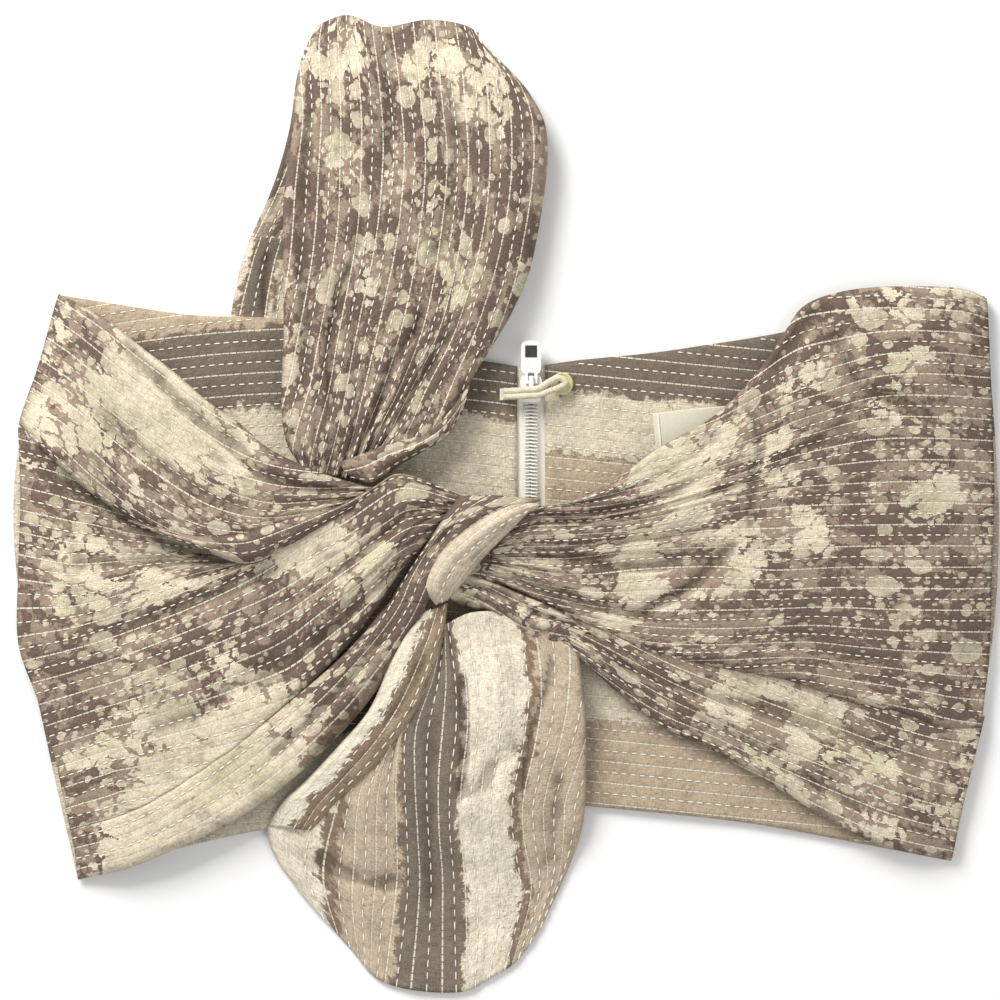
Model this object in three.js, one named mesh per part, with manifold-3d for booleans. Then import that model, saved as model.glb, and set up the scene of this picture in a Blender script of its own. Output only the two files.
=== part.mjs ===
// A twist-front, one-shoulder cropped top laid flat with its front uppermost.
// Millimetres. X runs across the body, Y from hem to shoulder, Z up from the table it lies on.
// The origin is on the table under the middle of the whole lay.
import * as THREE from "three";
import { mergeVertices } from "three/addons/utils/BufferGeometryUtils.js";
import Module from "manifold-3d";

// Overall sizes. Plan points below are drafted on a 414 mm square and graded to these.
const flatWidth = 414;
const flatLength = 414;
const draftSize = 414;

// Cloth and lay
const outerThickness = 1.0;
const liningThickness = 0.8;
const frontThickness = 3.0; // two quilted layers with their small creases
const tailThickness = 2.4;
const layerGap = 0.3;
const lipThickness = 2.2;
const seamGap = 0.5; // between front pieces that meet edge to edge
const passageHeight = 6.4; // air between back and front, where the body goes

// Zip
const zipWindow = 11.8; // chain and tape left uncovered by the folded-back cloth
const zipPlanX = 10;
const tapeWidth = 14;
const tapeThickness = 0.5;
const coilWidth = 2.3;
const coilHeight = 2.0;
const coilGap = 1.5;
const zipTopY = 58;
const zipBottomY = -119;
const stopLength = 3;

// Slider and pull tab
const sliderLength = 11.8;
const sliderWidth = 9.2;
const plateThickness = 1.0;
const sliderPlanY = 49;
const runningGap = 0.3;
const postWidth = 0.9;
const bridgeWidth = 1.8;
const bridgeWall = 1.0;
const bridgeOpening = 2.0;
const bridgeSpan = 5.2;
const bridgeSetback = 0.6; // from the slider's upper end
const tabLength = 17.5;
const tabWidth = 8.4;
const tabThickness = 1.0;
const eyeBar = 1.2;
const eyeLength = 3.4;
const eyeWidth = 2.8;
const inlaySide = 4.6;
const inlayProud = 0.3;

// Button, loop and label
const buttonRadius = 4.7;
const buttonThickness = 2.2;
const buttonPlan = [23, 51];
const shankRadius = 1.3;
const shankHeight = 1.4;
const buttonHoleRadius = 0.6;
const buttonHoleCircle = 1.5;
const loopDiameter = 2.2;
const loopBelowSlider = 3.6; // how far below the slider's middle the loop starts
const tackFromSlider = 7;
const tackWidth = 3.2;
const tackThickness = 0.6;
const labelWidth = 34;
const labelHeight = 19;
const labelThickness = 0.4;
const labelPlan = [79, 31];
const labelTilt = 0.1; // radians, parallel to the neck edge
const stitchWidth = 0.8;

// The knot's core: a flattened ball of gathered cloth
const knotPlan = [-12, -20];
const knotRadii = [36, 30, 8.5];
const knotEase = 1.2; // slack of the cloth wrapped over the core

// Heights worked out from the layers
const tapeBottom = outerThickness + layerGap;
const liningBottom = tapeBottom + tapeThickness + layerGap;
const backTop = liningBottom + liningThickness;
const seamZ = backTop + layerGap + frontThickness / 2;
const frontZ = backTop + passageHeight + frontThickness / 2;
const knotZ = backTop + passageHeight + knotRadii[2];
const coilBottom = tapeBottom + tapeThickness + layerGap;
const coilTop = coilBottom + coilHeight;
const sliderTop = coilTop + runningGap + plateThickness;
const hingeZ = sliderTop + bridgeOpening / 2;

const gradeX = flatWidth / draftSize;
const gradeY = flatLength / draftSize;
const zipX = zipPlanX * gradeX;
const sliderY = sliderPlanY * gradeY;
const hingeY = sliderY + sliderLength / 2 - bridgeSpan / 2 - bridgeSetback;

const colours = {
  camo: 0x9b8a7c,
  banded: 0x8e857b,
  cream: 0xcfc7b4,
  tape: 0xe9e6e0,
  enamel: 0xf0eee9,
  inlay: 0x1d1c1c,
  button: 0xc2c25a,
  label: 0xe4dfcf,
};

const wasm = await Module();
wasm.setup();

const top = new THREE.Group();

function add(name, geometry, colour, roughness = 0.9, metalness = 0) {
  const material = new THREE.MeshStandardMaterial({ color: colour, roughness, metalness });
  const mesh = new THREE.Mesh(geometry, material);
  mesh.name = name;
  top.add(mesh);
  return mesh;
}

// Booleans -------------------------------------------------------------------------------------

function bare(geometry) {
  const plain = geometry.clone();
  plain.deleteAttribute("normal");
  plain.deleteAttribute("uv");
  return mergeVertices(plain, 1e-4);
}

function solid(geometry) {
  const merged = bare(geometry);
  return new wasm.Manifold(
    new wasm.Mesh({
      numProp: 3,
      vertProperties: merged.attributes.position.array,
      triVerts: new Uint32Array(merged.index.array),
    }),
  );
}

function geometryOf(manifold) {
  const mesh = manifold.getMesh();
  const geometry = new THREE.BufferGeometry();
  geometry.setAttribute("position", new THREE.BufferAttribute(mesh.vertProperties, 3));
  geometry.setIndex(new THREE.BufferAttribute(mesh.triVerts, 1));
  return geometry;
}

function cut(geometry, ...tools) {
  return geometryOf(tools.reduce((body, tool) => body.subtract(solid(tool)), solid(geometry)));
}

// Cloth trimmed back from its neighbours: the largest piece is kept and slivers fall away.
function trim(geometry, ...tools) {
  const rest = tools.reduce((body, tool) => body.subtract(solid(tool)), solid(geometry));
  const pieces = rest.decompose().sort((a, b) => b.volume() - a.volume());
  return geometryOf(pieces[0]);
}

function join(geometry, ...others) {
  return geometryOf(others.reduce((body, other) => body.add(solid(other)), solid(geometry)));
}

// Plan drafting --------------------------------------------------------------------------------

const graded = ([x, y, z = 0]) => new THREE.Vector3(x * gradeX, y * gradeY, z);
const guide = (...points) => new THREE.CatmullRomCurve3(points.map(graded), false, "centripetal");

// A length of cloth lofted across its guide curves, which all run the same way. grow moves its
// two long edges outwards, or inwards when it is negative.
function drape(guides, { thickness = frontThickness, grow = -seamGap / 2, along = 16, across = 7 } = {}) {
  const surface = (u, v) => {
    const points = guides.map((curve) => curve.getPointAt(u));
    const last = points.length - 1;
    const outFirst = points[0].clone().sub(points[1]).setLength(grow);
    const outLast = points[last].clone().sub(points[last - 1]).setLength(grow);
    points[0].add(outFirst);
    points[last].add(outLast);
    return new THREE.CatmullRomCurve3(points, false, "centripetal").getPoint(v);
  };
  const step = 0.02;
  const normal = (u, v) => {
    const alongU = surface(Math.min(u + step, 1), v).sub(surface(Math.max(u - step, 0), v));
    const alongV = surface(u, Math.min(v + step, 1)).sub(surface(u, Math.max(v - step, 0)));
    return alongU.cross(alongV).normalize();
  };
  const box = new THREE.BoxGeometry(1, 1, 1, along, across, 1);
  const place = box.attributes.position;
  for (let i = 0; i < place.count; i += 1) {
    const u = place.getX(i) + 0.5;
    const v = place.getY(i) + 0.5;
    const point = surface(u, v).addScaledVector(normal(u, v), place.getZ(i) * thickness);
    place.setXYZ(i, point.x, point.y, point.z);
  }
  return bare(box);
}

const clearanceOf = (guides, options = {}) =>
  drape(guides, { thickness: frontThickness + 2 * layerGap, grow: layerGap, ...options });

// A flat piece cut from a plan outline: corners in order, with smooth runs between them.
function flatPiece(runs, bottom, thickness) {
  const outline = new THREE.Shape();
  runs.forEach((run, index) => {
    const points = run.map(([x, y]) => new THREE.Vector2(x, y));
    if (index === 0) outline.moveTo(points[0].x, points[0].y);
    else outline.lineTo(points[0].x, points[0].y);
    if (points.length > 1) outline.splineThru(points.slice(1));
  });
  outline.closePath();
  const settings = { depth: thickness, bevelEnabled: false, curveSegments: 4 };
  return new THREE.ExtrudeGeometry(outline, settings).translate(0, 0, bottom);
}

function box(width, length, height, x, y, bottom) {
  return new THREE.BoxGeometry(width, length, height).translate(x, y, bottom + height / 2);
}

// Back band ------------------------------------------------------------------------------------

const plan = (points) => points.map(([x, y]) => [x * gradeX, y * gradeY]);
const neckLeft = plan([[-189, 89], [-133, 80], [-93, 78], [-54, 68], [-12, 61]]);
const neckRight = plan([[30, 62], [81, 68], [117, 74], [156, 84], [201, 89]]);
const sideRight = plan([[207, 20], [208, -15], [202, -74], [187, -151]]);
const hemRight = plan([[148, -143], [98, -134], [56, -127], [30, -126]]);
const hemLeft = plan([[-12, -128], [-66, -132], [-102, -137], [-144, -147], [-181, -158]]);
const sideLeft = plan([[-194, -100], [-206, -36], [-205, 30]]);
const neckAtZip = 59 * gradeY;
const hemAtZip = -126 * gradeY;
const clothEdge = { left: zipX - zipWindow / 2, right: zipX + zipWindow / 2 };

function backHalf(side, bottom, thickness) {
  const edge = clothEdge[side];
  const runs =
    side === "left"
      ? [neckLeft, [[edge, neckAtZip]], [[edge, hemAtZip]], hemLeft, sideLeft]
      : [[[edge, neckAtZip]], neckRight, sideRight, hemRight, [[edge, hemAtZip]]];
  return flatPiece(runs, bottom, thickness);
}

for (const side of ["left", "right"]) {
  add(`back_${side}_outer`, backHalf(side, 0, outerThickness), colours.camo);
  add(`back_${side}_lining`, backHalf(side, liningBottom, liningThickness), colours.banded);
}

// Zip ------------------------------------------------------------------------------------------

const zipTop = zipTopY * gradeY;
const zipBottom = zipBottomY * gradeY;
const zipLength = zipTop - zipBottom;
const zipMiddle = (zipTop + zipBottom) / 2;
const sliderUpperEnd = sliderY + sliderLength / 2;
const coilOffset = (coilGap + coilWidth) / 2;
const chainWidth = coilGap + 2 * coilWidth;
const tapeInner = coilGap / 2;

for (const [side, sign] of [["left", -1], ["right", 1]]) {
  const tapeX = zipX + sign * (tapeInner + tapeWidth / 2);
  const coilX = zipX + sign * coilOffset;
  add(`zip_tape_${side}`, box(tapeWidth, zipLength, tapeThickness, tapeX, zipMiddle, tapeBottom),
    colours.tape);
  const coilFrom = zipBottom + stopLength + layerGap;
  const coilLength = sliderUpperEnd - coilFrom;
  add(`zip_coil_${side}`, box(coilWidth, coilLength, coilHeight, coilX, coilFrom + coilLength / 2,
    coilBottom), colours.tape, 0.5);
  add(`zip_top_stop_${side}`, box(coilWidth, stopLength, coilHeight, coilX,
    sliderUpperEnd + runningGap + stopLength / 2, coilBottom), colours.enamel, 0.4, 0.6);
}
add("zip_bottom_stop", box(chainWidth, stopLength, coilHeight, zipX, zipBottom + stopLength / 2,
  coilBottom), colours.enamel, 0.4, 0.6);

// The slider's plates are shields: broad shoulders above, narrower below where the chain closes.
function shield(bottom) {
  const half = sliderWidth / 2;
  const end = sliderLength / 2;
  const outline = new THREE.Shape();
  outline.moveTo(-half * 0.72, -end);
  outline.lineTo(half * 0.72, -end);
  outline.quadraticCurveTo(half * 0.78, -end * 0.1, half, end * 0.35);
  outline.quadraticCurveTo(half, end, half * 0.5, end);
  outline.quadraticCurveTo(0, end * 0.72, -half * 0.5, end);
  outline.quadraticCurveTo(-half, end, -half, end * 0.35);
  outline.quadraticCurveTo(-half * 0.78, -end * 0.1, -half * 0.72, -end);
  const settings = { depth: plateThickness, bevelEnabled: false, curveSegments: 5 };
  return new THREE.ExtrudeGeometry(outline, settings).translate(zipX, sliderY, bottom);
}

const lowerPlateTop = tapeBottom - runningGap;
const lowerPlateBottom = lowerPlateTop - plateThickness + runningGap;
const lowerPlate = shield(lowerPlateBottom);
const upperPlate = shield(coilTop + runningGap);
const postLength = sliderLength * 0.3;
const post = box(postWidth, postLength, sliderTop - lowerPlateBottom - plateThickness / 2, zipX,
  sliderUpperEnd - postLength, lowerPlateBottom + plateThickness / 4);
const flanges = [-1, 1].map((sign) =>
  box(plateThickness * 0.7, sliderLength * 0.5, plateThickness + coilHeight * 0.8,
    zipX + sign * (chainWidth / 2 + runningGap + plateThickness * 0.35), sliderY - sliderLength * 0.2,
    coilTop + runningGap - coilHeight * 0.8));
add("slider_body", join(upperPlate, lowerPlate, post, ...flanges), colours.enamel, 0.35, 0.5);

// The bridge stands on the upper plate and holds the pull tab's eye bar.
const bridgeOuter = box(bridgeWidth, bridgeSpan, bridgeOpening + bridgeWall, zipX, hingeY, sliderTop);
const bridgeInner = box(bridgeWidth * 2, bridgeSpan - 2 * bridgeWall, bridgeOpening, zipX, hingeY,
  sliderTop);
add("slider_bridge", cut(bridgeOuter, bridgeInner), colours.enamel, 0.35, 0.5);

function tabOutline() {
  const half = tabWidth / 2;
  const neck = eyeWidth / 2 + eyeBar;
  const outline = new THREE.Shape();
  outline.moveTo(-neck, -eyeBar / 2);
  outline.lineTo(neck, -eyeBar / 2);
  outline.lineTo(neck, eyeLength);
  outline.quadraticCurveTo(half, eyeLength + 1, half, eyeLength + 3);
  outline.lineTo(half, tabLength - half * 0.6);
  outline.quadraticCurveTo(half, tabLength, 0, tabLength);
  outline.quadraticCurveTo(-half, tabLength, -half, tabLength - half * 0.6);
  outline.lineTo(-half, eyeLength + 3);
  outline.quadraticCurveTo(-half, eyeLength + 1, -neck, eyeLength);
  outline.closePath();
  return outline;
}

const tabSettings = { depth: tabThickness, bevelEnabled: false, curveSegments: 6 };
const tabPlate = new THREE.ExtrudeGeometry(tabOutline(), tabSettings).translate(0, 0, -tabThickness / 2);
const eye = box(eyeWidth, eyeLength, tabThickness * 3, 0, eyeBar / 2 + eyeLength / 2, -tabThickness * 1.5);
const inlayY = tabLength - tabWidth * 0.55;
const inlayBottom = tabThickness * 0.1;
const inlaySeat = box(inlaySide + 2 * layerGap, inlaySide + 2 * layerGap, tabThickness, 0, inlayY,
  inlayBottom - layerGap);
const pull = new THREE.Group();
pull.position.set(zipX, hingeY, hingeZ);
const tabMesh = add("pull_tab", cut(tabPlate, eye, inlaySeat), colours.enamel, 0.3, 0.4);
const inlayMesh = add("pull_tab_inlay", box(inlaySide, inlaySide, tabThickness / 2 + inlayProud
  - inlayBottom, 0, inlayY, inlayBottom), colours.inlay, 0.4);
pull.add(tabMesh, inlayMesh);
top.add(pull);

// Button and loop ------------------------------------------------------------------------------

const [buttonX, buttonY] = [buttonPlan[0] * gradeX, buttonPlan[1] * gradeY];
const shankBottom = backTop + layerGap;
const buttonBottom = shankBottom + shankHeight + layerGap;
const buttonTop = buttonBottom + buttonThickness;
add("button_thread", new THREE.CylinderGeometry(shankRadius, shankRadius, shankHeight, 12)
  .rotateX(Math.PI / 2).translate(buttonX, buttonY, shankBottom + shankHeight / 2), colours.cream);

const buttonProfile = [
  [0, 0], [buttonRadius * 0.7, 0], [buttonRadius, buttonThickness * 0.35],
  [buttonRadius, buttonThickness * 0.75], [buttonRadius * 0.9, buttonThickness],
  [buttonRadius * 0.7, buttonThickness * 0.8], [0, buttonThickness * 0.7],
].map(([r, z]) => new THREE.Vector2(r, z));
const buttonDisc = new THREE.LatheGeometry(buttonProfile, 28).rotateX(Math.PI / 2)
  .translate(buttonX, buttonY, buttonBottom);
const buttonHoles = [0, 1, 2, 3].map((quarter) => {
  const angle = (quarter + 0.5) * (Math.PI / 2);
  return new THREE.CylinderGeometry(buttonHoleRadius, buttonHoleRadius, buttonThickness * 3, 8)
    .rotateX(Math.PI / 2)
    .translate(buttonX + buttonHoleCircle * Math.cos(angle), buttonY + buttonHoleCircle * Math.sin(angle),
      buttonBottom);
});
add("button", cut(buttonDisc, ...buttonHoles), colours.button, 0.35);

// The rouleau loop leaves the bar tack, arches over the slider, rounds its eye on the button and
// comes back beside itself.
const bridgeTop = sliderTop + bridgeOpening + bridgeWall;
const overSlider = bridgeTop + 2 * runningGap + loopDiameter / 2;
const onButton = buttonTop + layerGap + loopDiameter / 2;
const tackX = zipX - sliderWidth / 2 - tackFromSlider;
const tackBottom = backTop + layerGap;
const loopRootZ = tackBottom + tackThickness + layerGap + loopDiameter / 2;
const strand = loopDiameter + layerGap; // from one strand to the other beside it
const loopRootY = sliderY - loopBelowSlider;
const loopPoints = [
  [tackX, loopRootY, loopRootZ],
  [tackX + 1.5, loopRootY, loopRootZ],
  [tackX + 4.5, loopRootY + 0.1, loopRootZ + 3],
  [zipX - 3.4, loopRootY + 0.3, overSlider],
  [zipX + 3, loopRootY + 0.8, overSlider + 0.2],
  [buttonX - 5, buttonY - 3, overSlider - 0.2],
  [buttonX - 1.2, buttonY - 1.6, onButton + 0.3],
  [buttonX + 1.4, buttonY + 0.4, onButton],
  [buttonX - 1.2, buttonY + 2.4, onButton + 0.3],
  [buttonX - 5, buttonY + 1.2, overSlider - 0.2],
  [zipX + 3, loopRootY + 0.8 + strand, overSlider + 0.2],
  [zipX - 3.4, loopRootY + 0.3 + strand, overSlider],
  [tackX + 4.5, loopRootY + 0.1 + strand, loopRootZ + 3],
  [tackX + 1.5, loopRootY + strand, loopRootZ],
  [tackX, loopRootY + strand, loopRootZ],
].map(([x, y, z]) => new THREE.Vector3(x, y, z));
const loopSection = new THREE.Shape().absarc(0, 0, loopDiameter / 2, 0, Math.PI * 2);
const loopPath = new THREE.CatmullRomCurve3(loopPoints, false, "centripetal");
const loopSettings = { steps: 48, curveSegments: 4, bevelEnabled: false, extrudePath: loopPath };
add("button_loop", new THREE.ExtrudeGeometry(loopSection, loopSettings), colours.cream);
const tackLength = 2 * strand;
add("loop_bar_tack", box(tackWidth, tackLength, tackThickness, tackX, loopRootY + strand / 2,
  tackBottom), colours.cream);

// Woven label, sewn down at its two ends
const [labelX, labelY] = [labelPlan[0] * gradeX, labelPlan[1] * gradeY];
const label = new THREE.Group();
label.position.set(labelX, labelY, backTop + layerGap);
label.rotation.z = labelTilt;
label.add(add("neck_label", box(labelWidth, labelHeight, labelThickness, 0, 0, 0), colours.label));
for (const [side, sign] of [["left", -1], ["right", 1]]) {
  const stitchX = sign * (labelWidth / 2 - 2);
  label.add(add(`label_stitch_${side}`, box(stitchWidth, labelHeight - 2, labelThickness, stitchX, 0,
    labelThickness + layerGap), colours.cream));
}
top.add(label);

// Front ----------------------------------------------------------------------------------------

// The knot's core, and the height of cloth that lies over it at a plan point
const core = new THREE.SphereGeometry(1, 24, 14).rotateX(Math.PI / 2)
  .scale(...knotRadii).translate(knotPlan[0] * gradeX, knotPlan[1] * gradeY, knotZ);
const grownRadii = knotRadii.map((radius) => radius + 2 * layerGap);
const coreClearance = new THREE.SphereGeometry(1, 24, 14).rotateX(Math.PI / 2)
  .scale(...grownRadii).translate(knotPlan[0] * gradeX, knotPlan[1] * gradeY, knotZ);
add("knot_core", core, colours.camo);

const overKnot = ([x, y, lift = 0]) => {
  const dx = ((x - knotPlan[0]) * gradeX) / knotRadii[0];
  const dy = ((y - knotPlan[1]) * gradeY) / knotRadii[1];
  const dome = Math.sqrt(Math.max(0, 1 - dx * dx - dy * dy));
  return [x, y, knotZ + knotRadii[2] * dome + frontThickness / 2 + knotEase + lift];
};
const knotGuide = (...points) => guide(...points.map(overKnot));

const wrapGuides = [
  knotGuide([-50, -36], [-38, -40], [-31, -34]),
  knotGuide([-52, -18], [-36, -22], [-24, -20]),
  knotGuide([-48, 2], [-28, 4], [-9, -1]),
];
const lipLift = 1; // the turned-over edge lies highest
const lipGuides = [
  knotGuide([-28, -43, lipLift], [-8, -30, lipLift], [7, -12, lipLift], [14, 0, lipLift]),
  knotGuide([-30, -34, lipLift], [-20, -20, lipLift], [-8, -8, lipLift], [7, 4, lipLift]),
];
const wrapGrid = { along: 10, across: 6 };
add("knot_wrap", trim(drape(wrapGuides, wrapGrid), coreClearance), colours.camo);
add("knot_lip", trim(drape(lipGuides, { thickness: lipThickness, along: 12, across: 4 }),
  coreClearance, clearanceOf(wrapGuides, wrapGrid)), colours.cream);

const sideRise = seamZ + 3.2;
const sashBottom = guide([-205, 30, seamZ], [-192, 18, sideRise], [-163, -3, frontZ],
  [-123, -21, frontZ + 1], [-87, -12, frontZ + 3], [-66, 2, knotZ - 3], [-44, 9, knotZ], [-18, 7, knotZ]);
const lowGuides = [
  guide([-181, -158, seamZ], [-170, -154, sideRise], [-129, -142, frontZ], [-68, -97, frontZ],
    [-30, -44, knotZ]),
  guide([-201, -82, seamZ], [-190, -80, sideRise], [-150, -78, frontZ], [-91, -57, frontZ + 1],
    [-32, -28, knotZ]),
  guide([-207, -23, seamZ], [-195, -27, sideRise], [-159, -36, frontZ], [-108, -38, frontZ + 1],
    [-30, -12, knotZ]),
  sashBottom,
];
add("left_front_panel", trim(drape(lowGuides), coreClearance), colours.camo);

const sashGuides = [
  guide([-205, 30, seamZ], [-192, 18, sideRise], [-163, -3, frontZ], [-123, -21, frontZ + 1.5],
    [-90, -10, frontZ + 5], [-72, 3, knotZ + 2]),
  guide([-197, 60, seamZ], [-185, 51, sideRise], [-154, 27, frontZ + 2], [-112, 8, frontZ + 3.5],
    [-70, 9, knotZ + 2.5]),
  guide([-189, 89, seamZ], [-177, 81, sideRise], [-148, 63, frontZ], [-108, 37, frontZ + 1.5],
    [-68, 16, knotZ + 2.5]),
];
add("left_sash", trim(drape(sashGuides), clearanceOf(lowGuides)), colours.camo);

const rightBottom = guide([202, -74, seamZ], [190, -76, sideRise], [165, -78, frontZ],
  [123, -70, frontZ + 1], [77, -57, frontZ + 1], [35, -36, frontZ + 3], [5, -26, knotZ]);
const rightGuides = [
  rightBottom,
  guide([208, -15, seamZ], [196, -18, sideRise], [150, -24, frontZ + 1], [98, -26, frontZ + 1],
    [56, -20, frontZ + 2], [4, -16, knotZ]),
  guide([206, 40, seamZ], [194, 37, sideRise], [144, 32, frontZ + 1], [98, 6, frontZ + 1],
    [50, -6, frontZ + 2], [4, -8, knotZ]),
  guide([201, 89, seamZ], [188, 91, sideRise], [165, 91, frontZ], [138, 86, frontZ + 1],
    [119, 74, frontZ + 1], [81, 40, frontZ + 1], [60, 18, frontZ + 1], [35, 4, frontZ + 4],
    [4, 0, knotZ]),
];
add("right_front_panel", trim(drape(rightGuides), coreClearance), colours.camo);

const hemFoldGuides = [
  guide([187, -151, seamZ], [176, -149, sideRise], [148, -143, frontZ], [106, -122, frontZ],
    [72, -99, frontZ], [47, -78, frontZ + 1], [36, -66, frontZ + 2]),
  guide([202, -74, seamZ], [190, -76, sideRise], [165, -78, frontZ], [123, -70, frontZ + 1],
    [77, -57, frontZ + 1], [40, -39, frontZ + 3]),
];
add("right_hem_fold", drape(hemFoldGuides, { across: 4 }), colours.camo);

const pleatHemZ = knotZ - 4;
const pleatGuides = [
  guide([-24, -60, pleatHemZ], [6, -62, pleatHemZ], [34, -64, pleatHemZ]),
  guide([-26, -46, knotZ], [6, -44, knotZ], [38, -41, frontZ + 4]),
];
add("knot_pleats", trim(drape(pleatGuides, { along: 10, across: 4 }), coreClearance,
  clearanceOf(rightGuides), clearanceOf(hemFoldGuides)), colours.camo);

// Tail -----------------------------------------------------------------------------------------

const tableZ = tailThickness / 2 + layerGap;
const overHemZ = backTop + 2 * layerGap + tailThickness / 2;
const tailRoot = pleatHemZ - frontThickness / 2 - 1.5 * layerGap - tailThickness / 2;
const stripWidth = 13;
const tailLeft = [[-44, -70], [-74, -113], [-92, -136]];
const stripEdge = tailLeft.map(([x, y]) => [x + stripWidth, y + 2]);
const tailGuides = [
  guide([-20, -56, tailRoot], [...stripEdge[0], frontZ], [...stripEdge[1], frontZ - 2],
    [...stripEdge[2], overHemZ + 0.6], [-101, -154, tableZ + 0.6], [-84, -180, tableZ], [-51, -202, tableZ]),
  guide([4, -57, tailRoot], [-14, -92, frontZ], [-26, -124, frontZ - 2], [-31, -142, overHemZ + 0.6],
    [-33, -158, tableZ + 0.6], [-34, -184, tableZ], [-34, -206, tableZ]),
  guide([29, -58, tailRoot], [33, -88, frontZ], [34, -118, frontZ - 2], [31, -140, overHemZ + 0.6],
    [24, -160, tableZ + 0.6], [14, -179, tableZ], [-8, -199, tableZ]),
];
add("front_tail", drape(tailGuides, { thickness: tailThickness, along: 20 }), colours.banded);

const stripGuides = [
  guide([-36, -58, tailRoot], [...tailLeft[0], frontZ], [...tailLeft[1], frontZ - 2],
    [...tailLeft[2], overHemZ + 0.6], [-104, -146, overHemZ]),
  guide([-23, -62, tailRoot], [...stripEdge[0], frontZ], [...stripEdge[1], frontZ - 2],
    [...stripEdge[2], overHemZ + 0.6], [-94, -148, overHemZ]),
];
add("tail_folded_strip", trim(drape(stripGuides, { thickness: tailThickness, across: 3 }),
  clearanceOf(tailGuides, { thickness: tailThickness + 2 * layerGap, along: 20 }),
  clearanceOf(lowGuides)), colours.banded);

// Shoulder strap -------------------------------------------------------------------------------

const strapFrontZ = frontZ + 3;
const strapBackZ = layerGap + frontThickness / 2;
const foldRise = 2.6; // the strap's back half lifts towards the shoulder fold
const foldGap = layerGap + 0.1;
const foldUpperZ = strapBackZ + foldRise + frontThickness + foldGap;
const strapGuides = [
  guide([-68, 14, knotZ], [-88, 32, strapFrontZ], [-93, 86, strapFrontZ], [-91, 149, strapFrontZ],
    [-87, 184, strapFrontZ - 2], [-78, 203, foldUpperZ]),
  guide([-50, 20, knotZ + 1], [-52, 55, strapFrontZ + 2], [-50, 100, strapFrontZ + 2],
    [-46, 150, strapFrontZ + 1], [-46, 182, strapFrontZ - 1], [-46, 205, foldUpperZ]),
  guide([-33, 14, knotZ], [-14, 55, strapFrontZ], [9, 103, strapFrontZ], [16, 149, strapFrontZ],
    [5, 176, strapFrontZ - 2], [-12, 200, foldUpperZ]),
];
add("strap_front", trim(drape(strapGuides), coreClearance, clearanceOf(lowGuides),
  clearanceOf(sashGuides)), colours.camo);

const backOutline = backHalf("left", -layerGap, backTop + 2 * layerGap);
const strapBackGuides = [
  guide([-12, 200, strapBackZ + foldRise], [-14, 176, strapBackZ + 1], [-28, 149, strapBackZ],
    [-50, 110, strapBackZ]),
  guide([-78, 203, strapBackZ + foldRise], [-89, 184, strapBackZ + 1], [-93, 155, strapBackZ],
    [-107, 112, strapBackZ]),
];
const strapEndGuides = [
  guide([-51, 108, strapBackZ], [-60, 92, strapBackZ], [-66, 74, strapBackZ]),
  guide([-108, 110, strapBackZ], [-113, 95, strapBackZ], [-117, 80, strapBackZ]),
];
const backEdgeClearance = backOutline.clone().translate(0, layerGap, 0);
add("strap_back", drape(strapBackGuides, { across: 5 }), colours.camo);
add("strap_end", trim(drape(strapEndGuides, { along: 6, across: 5 }), backEdgeClearance), colours.banded);

export default top;
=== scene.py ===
import math

import bpy
import numpy as np
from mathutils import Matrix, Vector


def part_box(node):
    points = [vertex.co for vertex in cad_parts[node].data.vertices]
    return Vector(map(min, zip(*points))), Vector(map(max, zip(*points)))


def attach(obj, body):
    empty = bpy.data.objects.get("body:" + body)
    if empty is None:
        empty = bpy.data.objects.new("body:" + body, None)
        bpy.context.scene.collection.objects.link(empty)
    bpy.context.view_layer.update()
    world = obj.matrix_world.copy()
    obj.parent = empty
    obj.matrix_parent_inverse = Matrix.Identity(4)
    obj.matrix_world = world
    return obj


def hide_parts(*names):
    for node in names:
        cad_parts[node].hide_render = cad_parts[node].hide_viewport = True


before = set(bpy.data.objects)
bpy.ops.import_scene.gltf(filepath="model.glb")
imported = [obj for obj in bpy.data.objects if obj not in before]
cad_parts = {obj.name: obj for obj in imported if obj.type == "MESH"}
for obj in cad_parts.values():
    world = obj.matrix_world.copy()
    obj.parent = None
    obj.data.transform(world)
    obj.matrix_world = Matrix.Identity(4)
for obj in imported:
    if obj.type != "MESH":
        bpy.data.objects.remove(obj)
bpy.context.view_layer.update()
MM = 0.001


# Camera, table and lamps -------------------------------------------------------------------------
# The top lies flat and is seen from straight above through a long lens, in soft studio light.

framed_width = 0.420
lens, sensor = 200.0, 36.0
look_at = Vector((-3.1, 2.1, 10.0)) * MM
camera_height = framed_width * lens / sensor

camera = bpy.data.objects.new("camera", bpy.data.cameras.new("camera"))
camera.data.lens, camera.data.sensor_width = lens, sensor
camera.location = look_at + Vector((0, 0, camera_height))
bpy.context.scene.collection.objects.link(camera)
bpy.context.scene.camera = camera


def lamp(name, place, aim, size, watts, colour):
    data = bpy.data.lights.new(name, "AREA")
    data.size, data.energy, data.color = size, watts, colour
    made = bpy.data.objects.new(name, data)
    made.location = place
    made.rotation_mode = "QUATERNION"
    made.rotation_quaternion = (Vector(aim) - Vector(place)).to_track_quat("-Z", "Y")
    bpy.context.scene.collection.objects.link(made)


lamp("window_light", (-0.75, 1.15, 0.95), (0, 0, 0), 0.85, 32.0, (1.0, 0.985, 0.96))
lamp("fill_light", (0.9, -0.5, 1.4), (0, 0, 0), 1.4, 5.5, (0.97, 0.98, 1.0))
bpy.context.scene.view_settings.view_transform = "Standard"
world = bpy.data.worlds.new("studio")
bpy.context.scene.world = world
world.use_nodes = True
world.node_tree.nodes["Background"].inputs["Color"].default_value = (1, 1, 1, 1)
world.node_tree.nodes["Background"].inputs["Strength"].default_value = 0.49

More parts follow.
